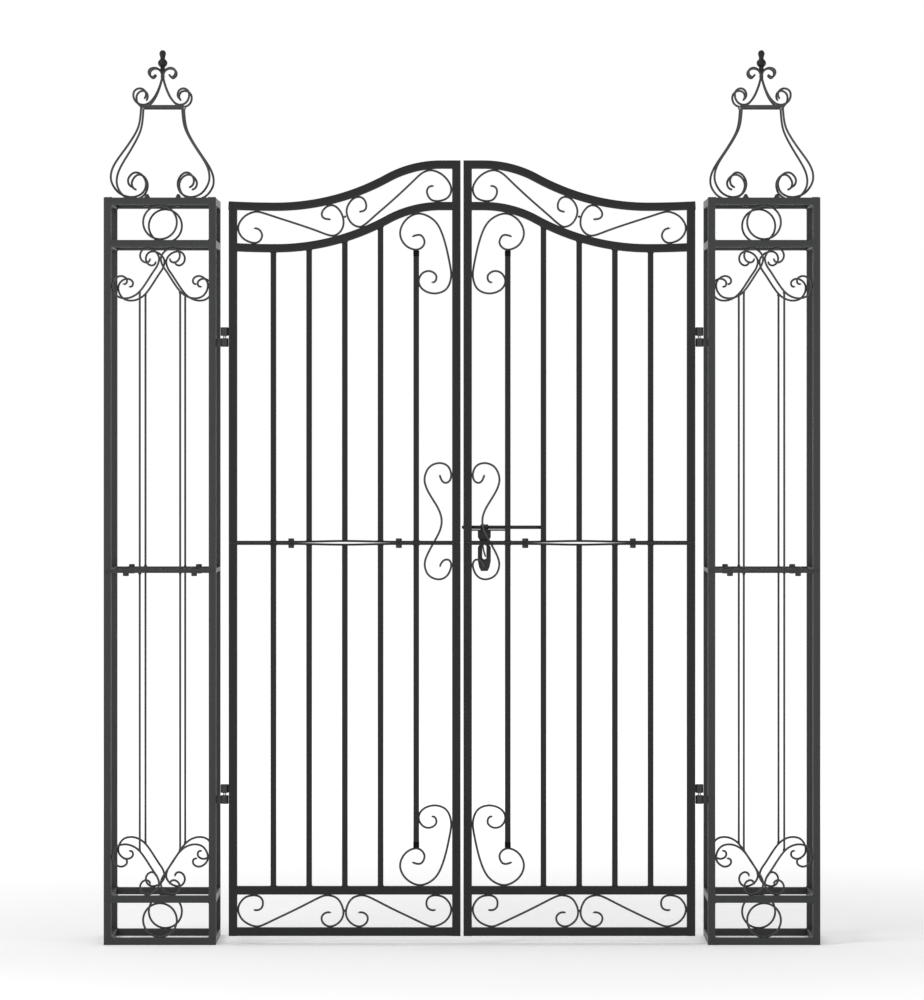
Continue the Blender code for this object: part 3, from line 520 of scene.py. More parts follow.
def screw_tree() -> GrownTree:
    """Build the tree that puts a hexagon screw, its washers, nut and thread on each point.

    Returns:
        The tree; a point marks the middle of the seat under the head.
    """
    sizes = {"Across": 0.0056, "Head": 0.0042, "Shank": 0.003, "Grip": 0.0073, "Tail": 0.009,
             "Pitch": 0.001}
    grown = GrownTree("hexagon_screw", [(label, FLOAT, size) for label, size in sizes.items()])
    washer = 0.0009
    chamfer = 0.0007
    nut = 0.0048
    across = grown.take("Across")
    pieces: list[bpy.types.NodeSocket] = []

    def turned(sides: int, radius: object, top_radius: object, depth: object, low: object) -> None:
        """Add one cone or cylinder.

        Args:
            sides: how many sides it has.
            radius: its radius at the bottom.
            top_radius: its radius at the top.
            depth: its height.
            low: the height that it stands on.
        """
        shape = grown.node("GeometryNodeMeshCone", {"Vertices": sides, "Radius Top": top_radius,
                                                    "Radius Bottom": radius, "Depth": depth})
        lifted = grown.node("ShaderNodeCombineXYZ", {"Z": low})
        placed = grown.node("GeometryNodeTransform", {"Geometry": shape.outputs[0],
                                                      "Translation": lifted.outputs[0]})
        pieces.append(placed.outputs[0])

    bevelled = grown.reckon(across, 0.86, "MULTIPLY")
    broad = grown.reckon(across, 1.03, "MULTIPLY")
    flat_head = grown.reckon(grown.take("Head"), washer + chamfer, "SUBTRACT")
    head_top = grown.reckon(grown.take("Head"), chamfer, "SUBTRACT")
    seat_low = grown.reckon(grown.take("Grip"), -1.0, "MULTIPLY")
    washer_low = grown.reckon(seat_low, washer, "SUBTRACT")
    nut_low = grown.reckon(washer_low, nut, "SUBTRACT")
    tip = grown.reckon(seat_low, grown.take("Tail"), "SUBTRACT")
    turned(32, broad, broad, washer, 0.0)
    turned(6, across, across, flat_head, washer)
    turned(6, across, bevelled, chamfer, head_top)
    turned(32, broad, broad, washer, washer_low)
    turned(6, across, across, nut - chamfer, grown.reckon(nut_low, chamfer))
    turned(6, bevelled, across, chamfer, nut_low)
    turned(20, grown.take("Shank"), grown.take("Shank"), grown.reckon(0.0, tip, "SUBTRACT"), tip)
    crest = grown.reckon(grown.take("Shank"), 1.13, "MULTIPLY")
    ridge = grown.node("GeometryNodeMeshCone", {"Vertices": 20, "Depth": 0.0005,
                                                "Radius Top": grown.take("Shank"),
                                                "Radius Bottom": crest})
    turns = grown.node("ShaderNodeMath", {0: grown.reckon(grown.take("Tail"), nut + washer, "SUBTRACT"),
                                          1: grown.take("Pitch")}, operation="DIVIDE")
    start = grown.node("ShaderNodeCombineXYZ", {"Z": grown.reckon(tip, 0.0002)})
    step = grown.node("ShaderNodeCombineXYZ", {"Z": grown.take("Pitch")})
    line = grown.node("GeometryNodeMeshLine", {"Start Location": start.outputs[0],
                                               "Offset": step.outputs[0]})
    whole = grown.node("FunctionNodeFloatToInt", {0: turns.outputs[0]}, rounding_mode="ROUND")
    grown.tree.links.new(whole.outputs[0], line.inputs["Count"])
    thread = grown.node("GeometryNodeInstanceOnPoints", {"Points": line.outputs[0],
                                                         "Instance": ridge.outputs[0]})
    pieces.append(thread.outputs[0])
    kit = grown.node("GeometryNodeJoinGeometry")
    for piece in pieces:
        grown.tree.links.new(piece, kit.inputs[0])
    spin = grown.node("FunctionNodeRandomValue", {2: 0.0, 3: math.pi / 3, "Seed": 3}, data_type="FLOAT")
    turn = grown.node("ShaderNodeCombineXYZ", {"Z": spin.outputs[1]})
    spread = grown.node("GeometryNodeInstanceOnPoints", {"Points": grown.take("Geometry"),
                                                         "Instance": kit.outputs[0],
                                                         "Rotation": turn.outputs[0]})
    grown.close(spread.outputs[0])
    return grown


# ---------------------------------------------------------------- workshop
@dataclass
class Path:
    """Points that a bar, wire or bead follows."""

    points: list[Place]
    closed: bool = False


def smooth_route(points: Sequence[Flat], per_span: int = 9, passes: int = 14) -> list[Flat]:
    """Run a Catmull-Rom curve through flat points and ease out its changes of curvature.

    Args:
        points: the points that the curve passes.
        per_span: how many steps lie between two of them.
        passes: how many times each point is drawn towards its neighbours.

    Returns:
        The points of the curve.
    """
    dense: list[Flat] = []
    ends = [points[0], *points, points[-1]]
    for a, b, c, d in zip(ends, ends[1:], ends[2:], ends[3:]):
        for k in range(per_span):
            t = k / per_span
            dense.append(tuple(0.5 * (2 * q + (r - p) * t + (2 * p - 5 * q + 4 * r - s) * t * t
                                      + (3 * q - p - 3 * r + s) * t ** 3)
                               for p, q, r, s in zip(a, b, c, d)))
    dense.append(tuple(points[-1]))
    for _ in range(passes):
        eased = [tuple((p + 2 * q + r) / 4 for p, q, r in zip(a, b, c))
                 for a, b, c in zip(dense, dense[1:], dense[2:])]
        dense = [dense[0], *eased, dense[-1]]
    return dense


def paths_mesh(paths: Sequence[Path], end_taper: float = 0.0) -> bpy.types.Mesh:
    """Lay paths out as edges, in metres.

    Args:
        paths: the paths, in millimetres.
        end_taper: the length, in millimetres, over which an open path's ends are rounded off.

    Returns:
        A mesh of edges with the attribute "taper", the share of the full radius at each point.
    """
    places: list[Vector] = []
    edges: list[tuple[int, int]] = []
    tapers: list[float] = []
    for path in paths:
        run = [Vector(point) * MM for point in path.points]
        shares = [1.0] * len(run)
        if end_taper and not path.closed:
            for _ in range(2):
                inward = (run[1] - run[0]).normalized() * end_taper * MM
                run[1:1] = [run[0] + inward * 0.3, run[0] + inward]
                shares[0] = 0.62
                shares[1:1] = [0.9, 1.0]
                run.reverse()
                shares.reverse()
        first = len(places)
        places += run
        tapers += shares
        edges += [(first + k, first + k + 1) for k in range(len(run) - 1)]
        if path.closed:
            edges.append((first + len(run) - 1, first))
    mesh = bpy.data.meshes.new("paths")
    mesh.from_pydata(places, edges, [])
    mesh.attributes.new("taper", "FLOAT", "POINT").data.foreach_set("value", tapers)
    return mesh


def front_pair(x: float, reach: float, offset: float, z: float) -> list[Path]:
    """Return two level paths to either side of x, one in front and one behind."""
    return [Path([(x - reach, sy * offset, z), (x + reach, sy * offset, z)]) for sy in (-1, 1)]


def side_pair(x: float, offset: float, reach: float, z: float) -> list[Path]:
    """Return two level paths from front to back, one on either side of x."""
    return [Path([(x + sx * offset, -reach, z), (x + sx * offset, reach, z)]) for sx in (-1, 1)]


def spots_mesh(points: Sequence[Place]) -> bpy.types.Mesh:
    """Return a mesh of loose points, in metres, from points in millimetres."""
    mesh = bpy.data.meshes.new("spots")
    mesh.from_pydata([Vector(point) * MM for point in points], [], [])
    return mesh


class Workshop:
    """The trees and finishes that every sub-assembly is made with."""

    joint_head: float = 4.2
    crown_head: float = 5.6

    def __init__(self) -> None:
        """Build the shader groups, the materials and the Geometry Nodes trees."""
        groups = {"powder_grain": grain_group(), "edge_wear": wear_group(), "settled_dust": dust_group(),
                  "tone_drift": drift_group()}
        self.materials = {finish.name: finish.material(groups) for finish in FINISHES}
        self.bars_tree = bar_tree()
        self.wires_tree = wire_tree()
        self.beads_tree = bead_tree()
        self.spots_tree = spot_tree()
        self.screws_tree = screw_tree()

    def bars(self, paths: Sequence[Path], width: float, depth: float, finish: Finish,
             facing: Facing = Facing.FRONT, corner: float = 1.2) -> bpy.types.Mesh:
        """Make bars of a rounded rectangular section.

        Args:
            paths: the bars' middle lines.
            width: the section's size across the facing.
            depth: the section's size along the facing.
            finish: the finish of the bars.
            facing: the direction that the depth lies in.
            corner: the radius of the section's corners.

        Returns:
            One mesh of all the bars.
        """
        values = {"Width": depth * MM, "Depth": width * MM, "Corner": corner * MM, "Facing": facing.value}
        return self.bars_tree.grow(paths_mesh(paths), self.materials[finish.name], values)

    def wires(self, paths: Sequence[Path], radius: float, finish: Finish) -> bpy.types.Mesh:
        """Make bent round wires with rounded ends."""
        values = {"Radius": radius * MM, "Sides": 14}
        base = paths_mesh(paths, end_taper=radius * 0.55)
        return self.wires_tree.grow(base, self.materials[finish.name], values)

    def beads(self, paths: Sequence[Path], radius: float, finish: Finish) -> bpy.types.Mesh:
        """Make weld beads along paths."""
        values = {"Radius": radius * MM, "Step": 0.0009, "Wander": 0.0004}
        return self.beads_tree.grow(paths_mesh(paths), self.materials[finish.name], values)

    def spots(self, points: Sequence[Place], radius: float, finish: Finish) -> bpy.types.Mesh:
        """Make weld spots at points."""
        values = {"Radius": radius * MM, "Seed": 7}
        return self.spots_tree.grow(spots_mesh(points), self.materials[finish.name], values)

    def turned(self, profile: Sequence[Flat], centre: Place, finish: Finish,
               along: Vector = Vector((0, 0, 1)), steps: int = 40) -> bpy.types.Mesh:
        """Turn a profile on a lathe.

        Args:
            profile: radius and distance along the axis at each point, from one closed end to the other.
            centre: where the axis starts, in millimetres.
            finish: the finish of the piece.
            along: the direction of the axis.
            steps: how many flats make up a full turn.

        Returns:
            A closed mesh in metres.
        """
        shape = bmesh.new()
        spots = [shape.verts.new((radius * MM, 0.0, height * MM)) for radius, height in profile]
        lines = [shape.edges.new(pair) for pair in zip(spots, spots[1:])]
        bmesh.ops.spin(shape, geom=spots + lines, axis=(0, 0, 1), cent=(0, 0, 0), steps=steps,
                       angle=2 * math.pi, use_merge=False)
        bmesh.ops.remove_doubles(shape, verts=shape.verts, dist=WELD_DISTANCE)
        bmesh.ops.recalc_face_normals(shape, faces=shape.faces)
        turn = Vector((0, 0, 1)).rotation_difference(along).to_matrix().to_4x4()
        shape.transform(Matrix.Translation(Vector(centre) * MM) @ turn)
        return self.plain(shape, finish)

    def block(self, low: Place, high: Place, finish: Finish, edge: float = 0.5) -> bpy.types.Mesh:
        """Make a block with rounded edges.

        Args:
            low: one corner, in millimetres.
            high: the corner across from it, in millimetres.
            finish: the finish of the block.
            edge: the radius of its edges.

        Returns:
            A closed mesh in metres.
        """
        shape = bmesh.new()
        bmesh.ops.create_cube(shape, size=1.0)
        size = [abs(b - a) for a, b in zip(low, high)]
        middle = Vector([(a + b) / 2 for a, b in zip(low, high)])
        shape.transform(Matrix.Translation(middle * MM) @ Matrix.Diagonal(Vector(size) * MM).to_4x4())
        bmesh.ops.bevel(shape, geom=shape.edges, offset=edge * MM, segments=3, affect="EDGES", profile=0.5)
        return self.plain(shape, finish)

    def plain(self, shape: bmesh.types.BMesh, finish: Finish) -> bpy.types.Mesh:
        """Turn an edit mesh into a mesh with one finish.

        Args:
            shape: the edit mesh, in metres; it is used up.
            finish: the finish of the mesh.

        Returns:
            The mesh.
        """
        mesh = bpy.data.meshes.new("plain")
        shape.to_mesh(mesh)
        shape.free()
        mesh.materials.append(self.materials[finish.name])
        return mesh

    def plate(self, loops: Sequence[Sequence[Flat]], y: float, thick: float, finish: Finish,
              edge: float = 0.4) -> bpy.types.Mesh:
        """Make a flat plate with rounded edges, drawn in x and z.

        Args:
            loops: the outline, then the holes.
            y: the middle of its thickness.
            thick: its whole thickness.
            finish: the finish of the plate.
            edge: the radius of its edges.

        Returns:
            A closed mesh in metres.
        """
        curve = bpy.data.curves.new("plate", "CURVE")
        curve.dimensions = "2D"
        curve.fill_mode = "BOTH"
        curve.extrude = (thick / 2 - edge) * MM
        curve.bevel_depth = edge * MM
        curve.bevel_resolution = 2
        curve.offset = -edge * MM
        for loop in loops:
            spline = curve.splines.new("POLY")
            spline.points.add(len(loop) - 1)
            spline.use_cyclic_u = True
            for point, (x, z) in zip(spline.points, loop):
                point.co = (x * MM, z * MM, 0.0, 1.0)
        drawn = evaluated_mesh(linked("plate", curve))
        bpy.data.curves.remove(curve)
        shape = bmesh.new()
        shape.from_mesh(drawn)
        bpy.data.meshes.remove(drawn)
        bmesh.ops.remove_doubles(shape, verts=shape.verts, dist=WELD_DISTANCE)
        shape.transform(Matrix.Translation((0, y * MM, 0)) @ Matrix.Rotation(math.pi / 2, 4, "X"))
        bmesh.ops.recalc_face_normals(shape, faces=shape.faces)
        return self.plain(shape, finish)

    def screws(self, nodes: Sequence[str], grip: float) -> bpy.types.Mesh:
        """Make the screws that stand for some nodes, each in its node's place and of its node's length.

        Args:
            nodes: nodes whose screws are alike.
            grip: the thickness between head and nut.

        Returns:
            One mesh of all the screws.
        """
        low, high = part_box(nodes[0])
        head = self.crown_head if "crown" in nodes[0] else self.joint_head
        tail = (high.z - low.z) / MM - head - grip
        seats = []
        for node in nodes:
            low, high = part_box(node)
            middle = (low + high) / 2 / MM
            seats.append((middle.x, middle.y, high.z / MM - head))
        values = {"Across": 0.0055, "Head": head * MM, "Shank": 0.003, "Grip": grip * MM, "Tail": tail * MM,
                  "Pitch": 0.001}
        return self.screws_tree.grow(spots_mesh(seats), self.materials[SCREW_BLACK.name], values)

    def assemble(self, name: str, body: str, meshes: Sequence[bpy.types.Mesh],
                 nodes: Sequence[str] = ()) -> bpy.types.Object:
        """Join meshes into one piece, set it on its body and let it stand for its nodes.

        Args:
            name: the piece's name.
            body: the body that it rides on.
            meshes: what it is made of; they are used up.
            nodes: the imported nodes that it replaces.

        Returns:
            The finished piece, with its object at the origin.
        """
        joined = bmesh.new()
        slots: list[bpy.types.Material] = []
        for mesh in meshes:
            first = len(joined.faces)
            joined.from_mesh(mesh)
            material = next(slot for slot in mesh.materials if slot)
            if material not in slots:
                slots.append(material)
            joined.faces.ensure_lookup_table()
            for face in joined.faces[first:]:
                face.material_index = slots.index(material)
                face.smooth = True
            bpy.data.meshes.remove(mesh)
        made = bpy.data.meshes.new(name)
        joined.to_mesh(made)
        joined.free()
        for material in slots:
            made.materials.append(material)
        made.set_sharp_from_angle(angle=math.radians(38))
        piece = linked(name, made)
        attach(piece, body)
        if nodes:
            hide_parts(*nodes)
        LOG.info("%s: %d faces on %s", name, len(made.polygons), body)
        return piece


def seat_wire(route: Sequence[Flat], gap: Reach, radius: float, reach: float,
              spread: float = 24.0) -> tuple[list[Flat], list[Flat]]:
    """Ease a wire against the bars that it is welded to.

    Args:
        route: the wire's middle line.
        gap: from a point, gives the distance to the nearest bar and that bar's closest point.
        radius: the wire's radius.
        reach: the distance, from the wire's middle, at which it counts as touching.
        spread: how far along the wire the easing fades out.

    Returns:
        The eased middle line, and the places for weld spots.
    """
    sink = 0.2
    measured = [gap(*point) for point in route]
    along = [0.0]
    for before, here in zip(route, route[1:]):
        along.append(along[-1] + math.dist(before, here))
    pushes, spots = [], []
    for k in range(1, len(route) - 1):
        away, bar_across, bar_height = measured[k]
        if away < reach and away <= measured[k - 1][0] and away < measured[k + 1][0]:
            share = max(away - radius + sink, 0.0) / max(away, 0.1)
            across, height = bar_across - route[k][0], bar_height - route[k][1]
            pushes.append((along[k], (across * share, height * share)))
            rest = (1 - share) / 2
            spots.append((bar_across - across * rest, bar_height - height * rest))
    eased = []
    for place, (across, height) in zip(along, route):
        weights = [math.exp(-((place - at) / spread) ** 2) for at, _ in pushes]
        eased.append((across + sum(w * push[0] for w, (_, push) in zip(weights, pushes)),
                      height + sum(w * push[1] for w, (_, push) in zip(weights, pushes))))
    return eased, spots


# ---------------------------------------------------------------- wire routes, (across, height)
COLUMN_SCROLL = [(-17, 1222.5), (-19.5, 1217), (-26, 1215), (-33, 1219.5), (-35.7, 1228), (-31.5, 1237),
                 (-22, 1240.2), (-10, 1236), (-3, 1228), (-1.5, 1220), (-5, 1209), (-12.7, 1198),
                 (-24.7, 1179), (-35.7, 1164), (-46.7, 1155.4), (-60.4, 1151.3), (-75, 1154.5), (-83, 1168),
                 (-82, 1183), (-70, 1192), (-59, 1187), (-59.5, 1178), (-66, 1176.5)]
CROWN_LEG = [(50.5, 1351), (57, 1355), (59, 1366), (49, 1378), (36, 1375), (28, 1361), (31.5, 1345),
             (42, 1336), (56.5, 1333.2), (74, 1339.5), (86, 1356), (88, 1371), (84.5, 1385), (76.5, 1400),
             (63, 1420), (48.5, 1443.5), (39.5, 1465), (36.6, 1496.4)]
CROWN_CREST = [(31, 1511), (28, 1517.5), (31, 1526), (40, 1529), (49, 1523), (49.5, 1511), (43, 1502),
               (33, 1499.5), (23, 1503.5), (13, 1516), (6, 1532), (1.6, 1547), (1.2, 1556), (5, 1564),
               (14, 1567.5), (22.5, 1564), (24, 1556), (17.8, 1549.5), (12, 1555)]
BAND_SCROLL = [(371, 62), (363, 61.6), (355.5, 67), (355, 79), (362.5, 86.2), (375, 87), (388, 82),
               (396.6, 64), (389, 43), (368, 33.8), (350, 38), (300, 61), (256, 83), (238, 87), (220, 81),
               (210.6, 60), (216, 43), (233, 33.9), (247, 39), (250.5, 50), (243, 57.6), (233, 57.6)]
TOP_SCROLL_OUTER = [(371, 1277), (361, 1274.5), (355.5, 1264), (361, 1253.8), (372, 1251.4), (389, 1258.5),
                    (396.6, 1277), (388, 1296), (371, 1304.2), (353, 1302.5), (292, 1283.5), (240, 1266.5),
                    (222, 1268.5), (211.2, 1281), (213, 1300), (226, 1314), (240, 1313), (250, 1303),
                    (247, 1293.5), (234, 1292)]
TOP_SCROLL_INNER = [(183, 1305.5), (172, 1308.5), (170.7, 1319.5), (177, 1328.4), (188, 1329),
                    (199.5, 1321.5), (206.4, 1306), (199, 1288), (185, 1281.2), (171, 1286.4),
                    (124, 1325.6), (86, 1361), (71, 1373.5), (54, 1378.2), (33, 1370), (20.6, 1350),
                    (25, 1332), (41, 1325.8), (56, 1328), (63, 1341), (59, 1350.5), (50, 1352)]
STILE_SCROLL = [(88.6, 1261.5), (80, 1264.5), (71.5, 1263.5), (66, 1252), (72, 1242.5), (84, 1239.2),
                (102, 1247), (111.2, 1267), (102, 1289), (79, 1300.3), (56, 1295), (40, 1278.5), (28, 1243),
                (21.6, 1208), (20.6, 1187), (28, 1167), (48, 1159.6), (67, 1166), (74, 1182), (68, 1197),
                (56, 1200.5), (45.5, 1193), (47, 1182), (54, 1179.5)]
WAIST_SCROLL = [(40, 837), (36, 826), (28.8, 822.5), (21.8, 828), (20.3, 840), (26.4, 854), (42, 858.6),
                (59, 851), (67, 832), (64, 815), (55, 798), (42, 777), (36, 758), (38.5, 739.5), (48, 720.5),
                (61, 697), (67, 677.5), (60, 658), (42, 650.4), (27, 657), (20.5, 675), (23.6, 685),
                (31, 686.2), (37, 681), (40, 673)]
FINIAL_PROFILE = [(0, 1600), (3.4, 1599), (5.6, 1595.6), (6, 1592.6), (5, 1588.6), (4.4, 1586),
                  (4.6, 1583.4), (7, 1581), (8.7, 1577), (7.6, 1572.4), (4.4, 1569.4), (4.4, 1560), (0, 1560)]

PAD_PROFILE = [(0, 0), (4.6, 0), (4.6, 1.6), (3.6, 2.6), (2.0, 3.5), (0, 3.6)]
DOME_NUT_PROFILE = [(0, 0), (4.0, 0), (4.0, 2.2), (3.2, 4.4), (1.8, 5.8), (0, 6.2)]
RIVET_PROFILE = [(0, 0), (3.1, 0), (3.0, 0.5), (2.3, 1.1), (1.1, 1.5), (0, 1.6)]


# ---------------------------------------------------------------- columns
@dataclass
class Column:
    """One lattice column: four posts, rings of rails, a bolted joint at mid height and wire scrollwork."""

    side: Side
    middle: float = 538.0
    half: float = 100.0
    tube: float = 13.0
    height: float = 1331.0
    split: float = 666.0
    cell: float = 62.0
    flat: float = 3.5
    gap: float = 0.3
    wire: float = 1.9
    rod_offset: float = 36.0
    rod_top: float = 1162.5
    mirror_z: float = 1330.5
    crown_gap: float = 3.3
    overlap: float = 0.6
    bead: float = 1.3
    bead_inset: float = 1.0
    ring_weld: float = 2.6
    scroll_weld: float = 2.5
    contact: float = 5.0
    brace: float = 24.0

    @property
    def word(self) -> str:
        """The word that starts this column's node names."""
        return self.side.name.lower()

    @property
    def x(self) -> float:
        """The middle of the column."""
        return self.side.value * self.middle

    @property
    def plane(self) -> float:
        """How far the middle of a front or back bar lies from the column's middle."""
        return self.half - self.tube / 2

    def rails(self, half: Half) -> list[float]:
        """Return the middle heights of the rail rings in one half of the column."""
        lows = [self.tube / 2, self.tube * 1.5 + self.cell]
        if half is Half.LOWER:
            return lows
        return [self.height - lows[0], self.height - 0.5 - lows[1]]

    def frame_meshes(self, shop: Workshop, half: Half) -> list[bpy.types.Mesh]:
        """Make the posts, rails, joint flats, rings and weld beads of one half."""
        seam = self.split + half.value * self.gap / 2
        joint = seam + half.value * self.flat
        end = self.height if half is Half.UPPER else 0.0
        inner = self.half - self.tube
        posts = [Path([(self.x + sx * self.plane, sy * self.plane, z) for z in (joint, end)])
                 for sx in (-1, 1) for sy in (-1, 1)]
        across, away, beads = [], [], []
        reach = self.tube / 2 - self.bead_inset
        for z in self.rails(half):
            across += front_pair(self.x, inner + self.overlap, self.plane, z)
            away += side_pair(self.x, self.plane, inner + self.overlap, z)
            for y in (-self.plane, self.plane):
                for level in (z - self.tube / 2, z + self.tube / 2):
                    if level < 1.0:
                        continue
                    for corner in (-inner, inner):
                        beads.append(Path([(self.x + corner, y + s * reach, level) for s in (-1, 1)]))
                        beads.append(Path([(self.x + y + s * reach, corner, level) for s in (-1, 1)]))
        thin, narrow = self.tube - 0.1, self.tube - 0.2
        level = seam + half.value * self.flat / 2
        meshes = [shop.bars(posts, self.tube, self.tube, COLUMN_COAT),
                  shop.bars(across, thin, thin, COLUMN_COAT),
                  shop.bars(away, thin, thin, COLUMN_COAT, Facing.TOP),
                  shop.beads(beads, self.bead, COLUMN_COAT),
                  shop.bars(front_pair(self.x, self.half - 0.1, self.plane, level), self.flat, narrow,
                            COLUMN_COAT, corner=0.5),
                  shop.bars(side_pair(self.x, self.plane, inner, level), narrow, self.flat, COLUMN_COAT,
                            Facing.TOP, corner=0.5)]
        short_cell = (self.tube + self.cell / 2 if half is Half.LOWER
                      else self.height - self.tube - self.cell / 2)
        radius = self.cell / 2 - 1.0
        rings, welds = [], []
        for face in (-1, 1):
            circle = []
            for k in range(72):
                angle = math.tau * k / 72
                circle.append((self.x + radius * math.cos(angle), face * self.plane,
                               short_cell + radius * math.sin(angle)))
            rings.append(Path(circle, closed=True))
            welds += [(self.x, face * self.plane, short_cell + sign * (radius + 1.2)) for sign in (-1, 1)]
        meshes += [shop.wires(rings, self.wire, WIRE_COAT), shop.spots(welds, self.ring_weld, WIRE_COAT)]
        if half is Half.UPPER:
            brace = self.height - self.crown_gap - self.flat / 2
            meshes.append(shop.bars([Path([(self.x - inner - 3, 0, brace), (self.x + inner + 3, 0, brace)])],
                                    self.flat, self.brace, COLUMN_COAT, corner=0.6))
        return meshes

    def gap_to_bars(self, across: float, height: float) -> tuple[float, float, float]:
        """Return the distance to the nearest bar round the long cell, and that bar's closest point."""
        inner = self.half - self.tube
        rail = self.height - 0.5 - 2 * self.tube - self.cell
        spots = [(inner - abs(across), math.copysign(inner, across), height), (rail - height, across, rail),
                 (abs(across), 0.0, height)]
        return min(spots)

    def scrollwork_meshes(self, shop: Workshop, half: Half, face: int) -> list[bpy.types.Mesh]:
        """Make the scroll pair, its two rods and their weld spots in one face of one half."""
        y = face * self.plane
        route, touches = seat_wire(smooth_route(COLUMN_SCROLL), self.gap_to_bars, self.wire,
                                   self.wire + self.contact)
        touches += [(-self.rod_offset, self.rod_top - 0.8)]
        foot = self.rod_top
        if half is Half.LOWER:
            route = [(across, self.mirror_z - z) for across, z in route]
            touches = [(across, self.mirror_z - z) for across, z in touches]
            foot = self.mirror_z - foot
        seam = self.split + half.value * (self.flat + self.gap / 2)
        paths, welds = [], []
        for sign in (-1, 1):
            paths.append(Path([(self.x + sign * across, y, z) for across, z in route]))
            rod = self.x + sign * self.rod_offset
            paths.append(Path([(rod, y, foot), (rod, y, seam)]))
            welds += [(self.x + sign * across, y, z) for across, z in touches]
            welds.append((rod, y, seam + half.value * 1.2))
        return [shop.wires(paths, self.wire, WIRE_COAT), shop.spots(welds, self.scroll_weld, WIRE_COAT)]

    def build(self, shop: Workshop) -> None:
        """Make every piece of the column and set it on the fixed body."""
        for half in Half:
            name = "%s_column_%s" % (self.word, half.name.lower())
            shop.assemble(name + "_tubes", "columns", self.frame_meshes(shop, half),
                          [name + "_frame"])
            for face, label in ((-1, "front"), (1, "back")):
                node = "%s_column_%s_%s_scrollwork" % (self.word, label, half.name.lower())
                shop.assemble(node + "_wire", "columns", self.scrollwork_meshes(shop, half, face),
                              [node])


@dataclass
class Crown:
    """The bolted wire crown of a column and its finial."""

    side: Side
    middle: float = 538.0
    top: float = 1331.0
    plate: float = 3.0
    foot: float = 56.5
    strap: float = 14.0
    wire: float = 2.0
    ring_z: float = 1497.0
    ring_half: float = 36.9
    brace: float = 24.0

    def build(self, shop: Workshop) -> None:
        """Make the crown and the finial and set them on the fixed body."""
        word = self.side.name.lower()
        x = self.side.value * self.middle
        legs = smooth_route(CROWN_LEG)
        crests = smooth_route(CROWN_CREST)
        paths, welds, pads = [], [], []
        for sx in (-1, 1):
            for sy in (-1, 1):
                paths.append(Path([(x + sx * v, sy * v, z) for v, z in legs]))
                paths.append(Path([(x + sx * v, sy * v, z) for v, z in crests]))
                corner = (x + sx * self.ring_half, sy * self.ring_half)
                welds += [(*corner, self.ring_z), (x + sx * 33.5, sy * 33.5, self.ring_z + 1.2)]
                spot = (x + sx * self.foot, sy * self.foot, self.top - 1.0)
                pads.append(shop.turned(PAD_PROFILE, spot, WIRE_COAT, steps=20))
        middle = self.top - self.plate / 2
        reach = self.foot + self.strap / 2
        inner = self.foot - self.strap / 2 + 0.5
        front = front_pair(x, reach, self.foot, middle)
        sides = side_pair(x, self.foot, inner, middle)
        centre = [Path([(x - inner, 0, middle), (x + inner, 0, middle)])]
        meshes = [shop.bars(front, self.plate, self.strap, WIRE_COAT, corner=0.5),
                  shop.bars(sides, self.strap, self.plate, WIRE_COAT, Facing.TOP, corner=0.5),
                  shop.bars(centre, self.plate, self.brace, WIRE_COAT, corner=0.5),
                  shop.wires(paths, self.wire, WIRE_COAT),
                  shop.wires([self.square_ring(x)], self.wire + 0.3, WIRE_COAT),
                  shop.spots(welds, 3.0, WIRE_COAT),
                  shop.spots([(x, 0.0, 1552.0), (x, 0.0, 1557.0)], 4.0, WIRE_COAT), *pads]
        shop.assemble(word + "_crown_wirework", "columns", meshes, [word + "_crown"])
        profile = smooth_route(FINIAL_PROFILE[1:-2], 4, 0)
        shape = [(0, 1600.0), *profile, FINIAL_PROFILE[-2], FINIAL_PROFILE[-1]]
        finial = shop.turned(shape, (x, 0.0, 0.0), CAST_COAT, steps=48)
        shop.assemble(word + "_finial_turned", "columns", [finial], [word + "_finial"])

    def square_ring(self, x: float, bend: float = 4.0) -> Path:
        """Return the level square ring of wire, its corners bent to a small radius."""
        points = []
        for k in range(4):
            for step in range(5):
                angle = math.tau * (k + step / 4) / 4
                turn = Vector((math.cos(angle), math.sin(angle)))
                quarter = math.tau * (k + 0.5) / 4
                sx, sy = math.copysign(1, math.cos(quarter)), math.copysign(1, math.sin(quarter))
                points.append((x + sx * (self.ring_half - bend) + turn.x * bend,
                               sy * (self.ring_half - bend) + turn.y * bend, self.ring_z))
        return Path(points, closed=True)


# ---------------------------------------------------------------- leaves
@dataclass
class OgeeEdge:
    """The top edge of a leaf: shallow arc, hollow arc, round arc, then level to the meeting stile."""

    low_u: float = 332.0
    low_z: float = 1322.1
    low_r: float = 408.0
    outer_r: float = 1500.0
    turn_u: float = 133.0
    high_u: float = 38.0
    high_z: float = 1397.2

    def height(self, u: float) -> float:
        """Return the height of the edge at u."""
        turn_z = self.low_z + self.low_r - math.sqrt(self.low_r ** 2 - (self.low_u - self.turn_u) ** 2)
        if u >= self.turn_u:
            away = u - self.low_u
            radius = self.outer_r if away > 0 else self.low_r
            return self.low_z + radius - math.sqrt(radius ** 2 - away ** 2)
        if u <= self.high_u:
            return self.high_z
        rise = self.high_z - turn_z
        run = self.turn_u - self.high_u
        crest_r = (rise ** 2 + run ** 2) / (2 * rise)
        return self.high_z - crest_r + math.sqrt(crest_r ** 2 - (u - self.high_u) ** 2)

    def slope(self, u: float) -> float:
        """Return the slope of the edge at u."""
        return self.height(u + 0.5) - self.height(u - 0.5)


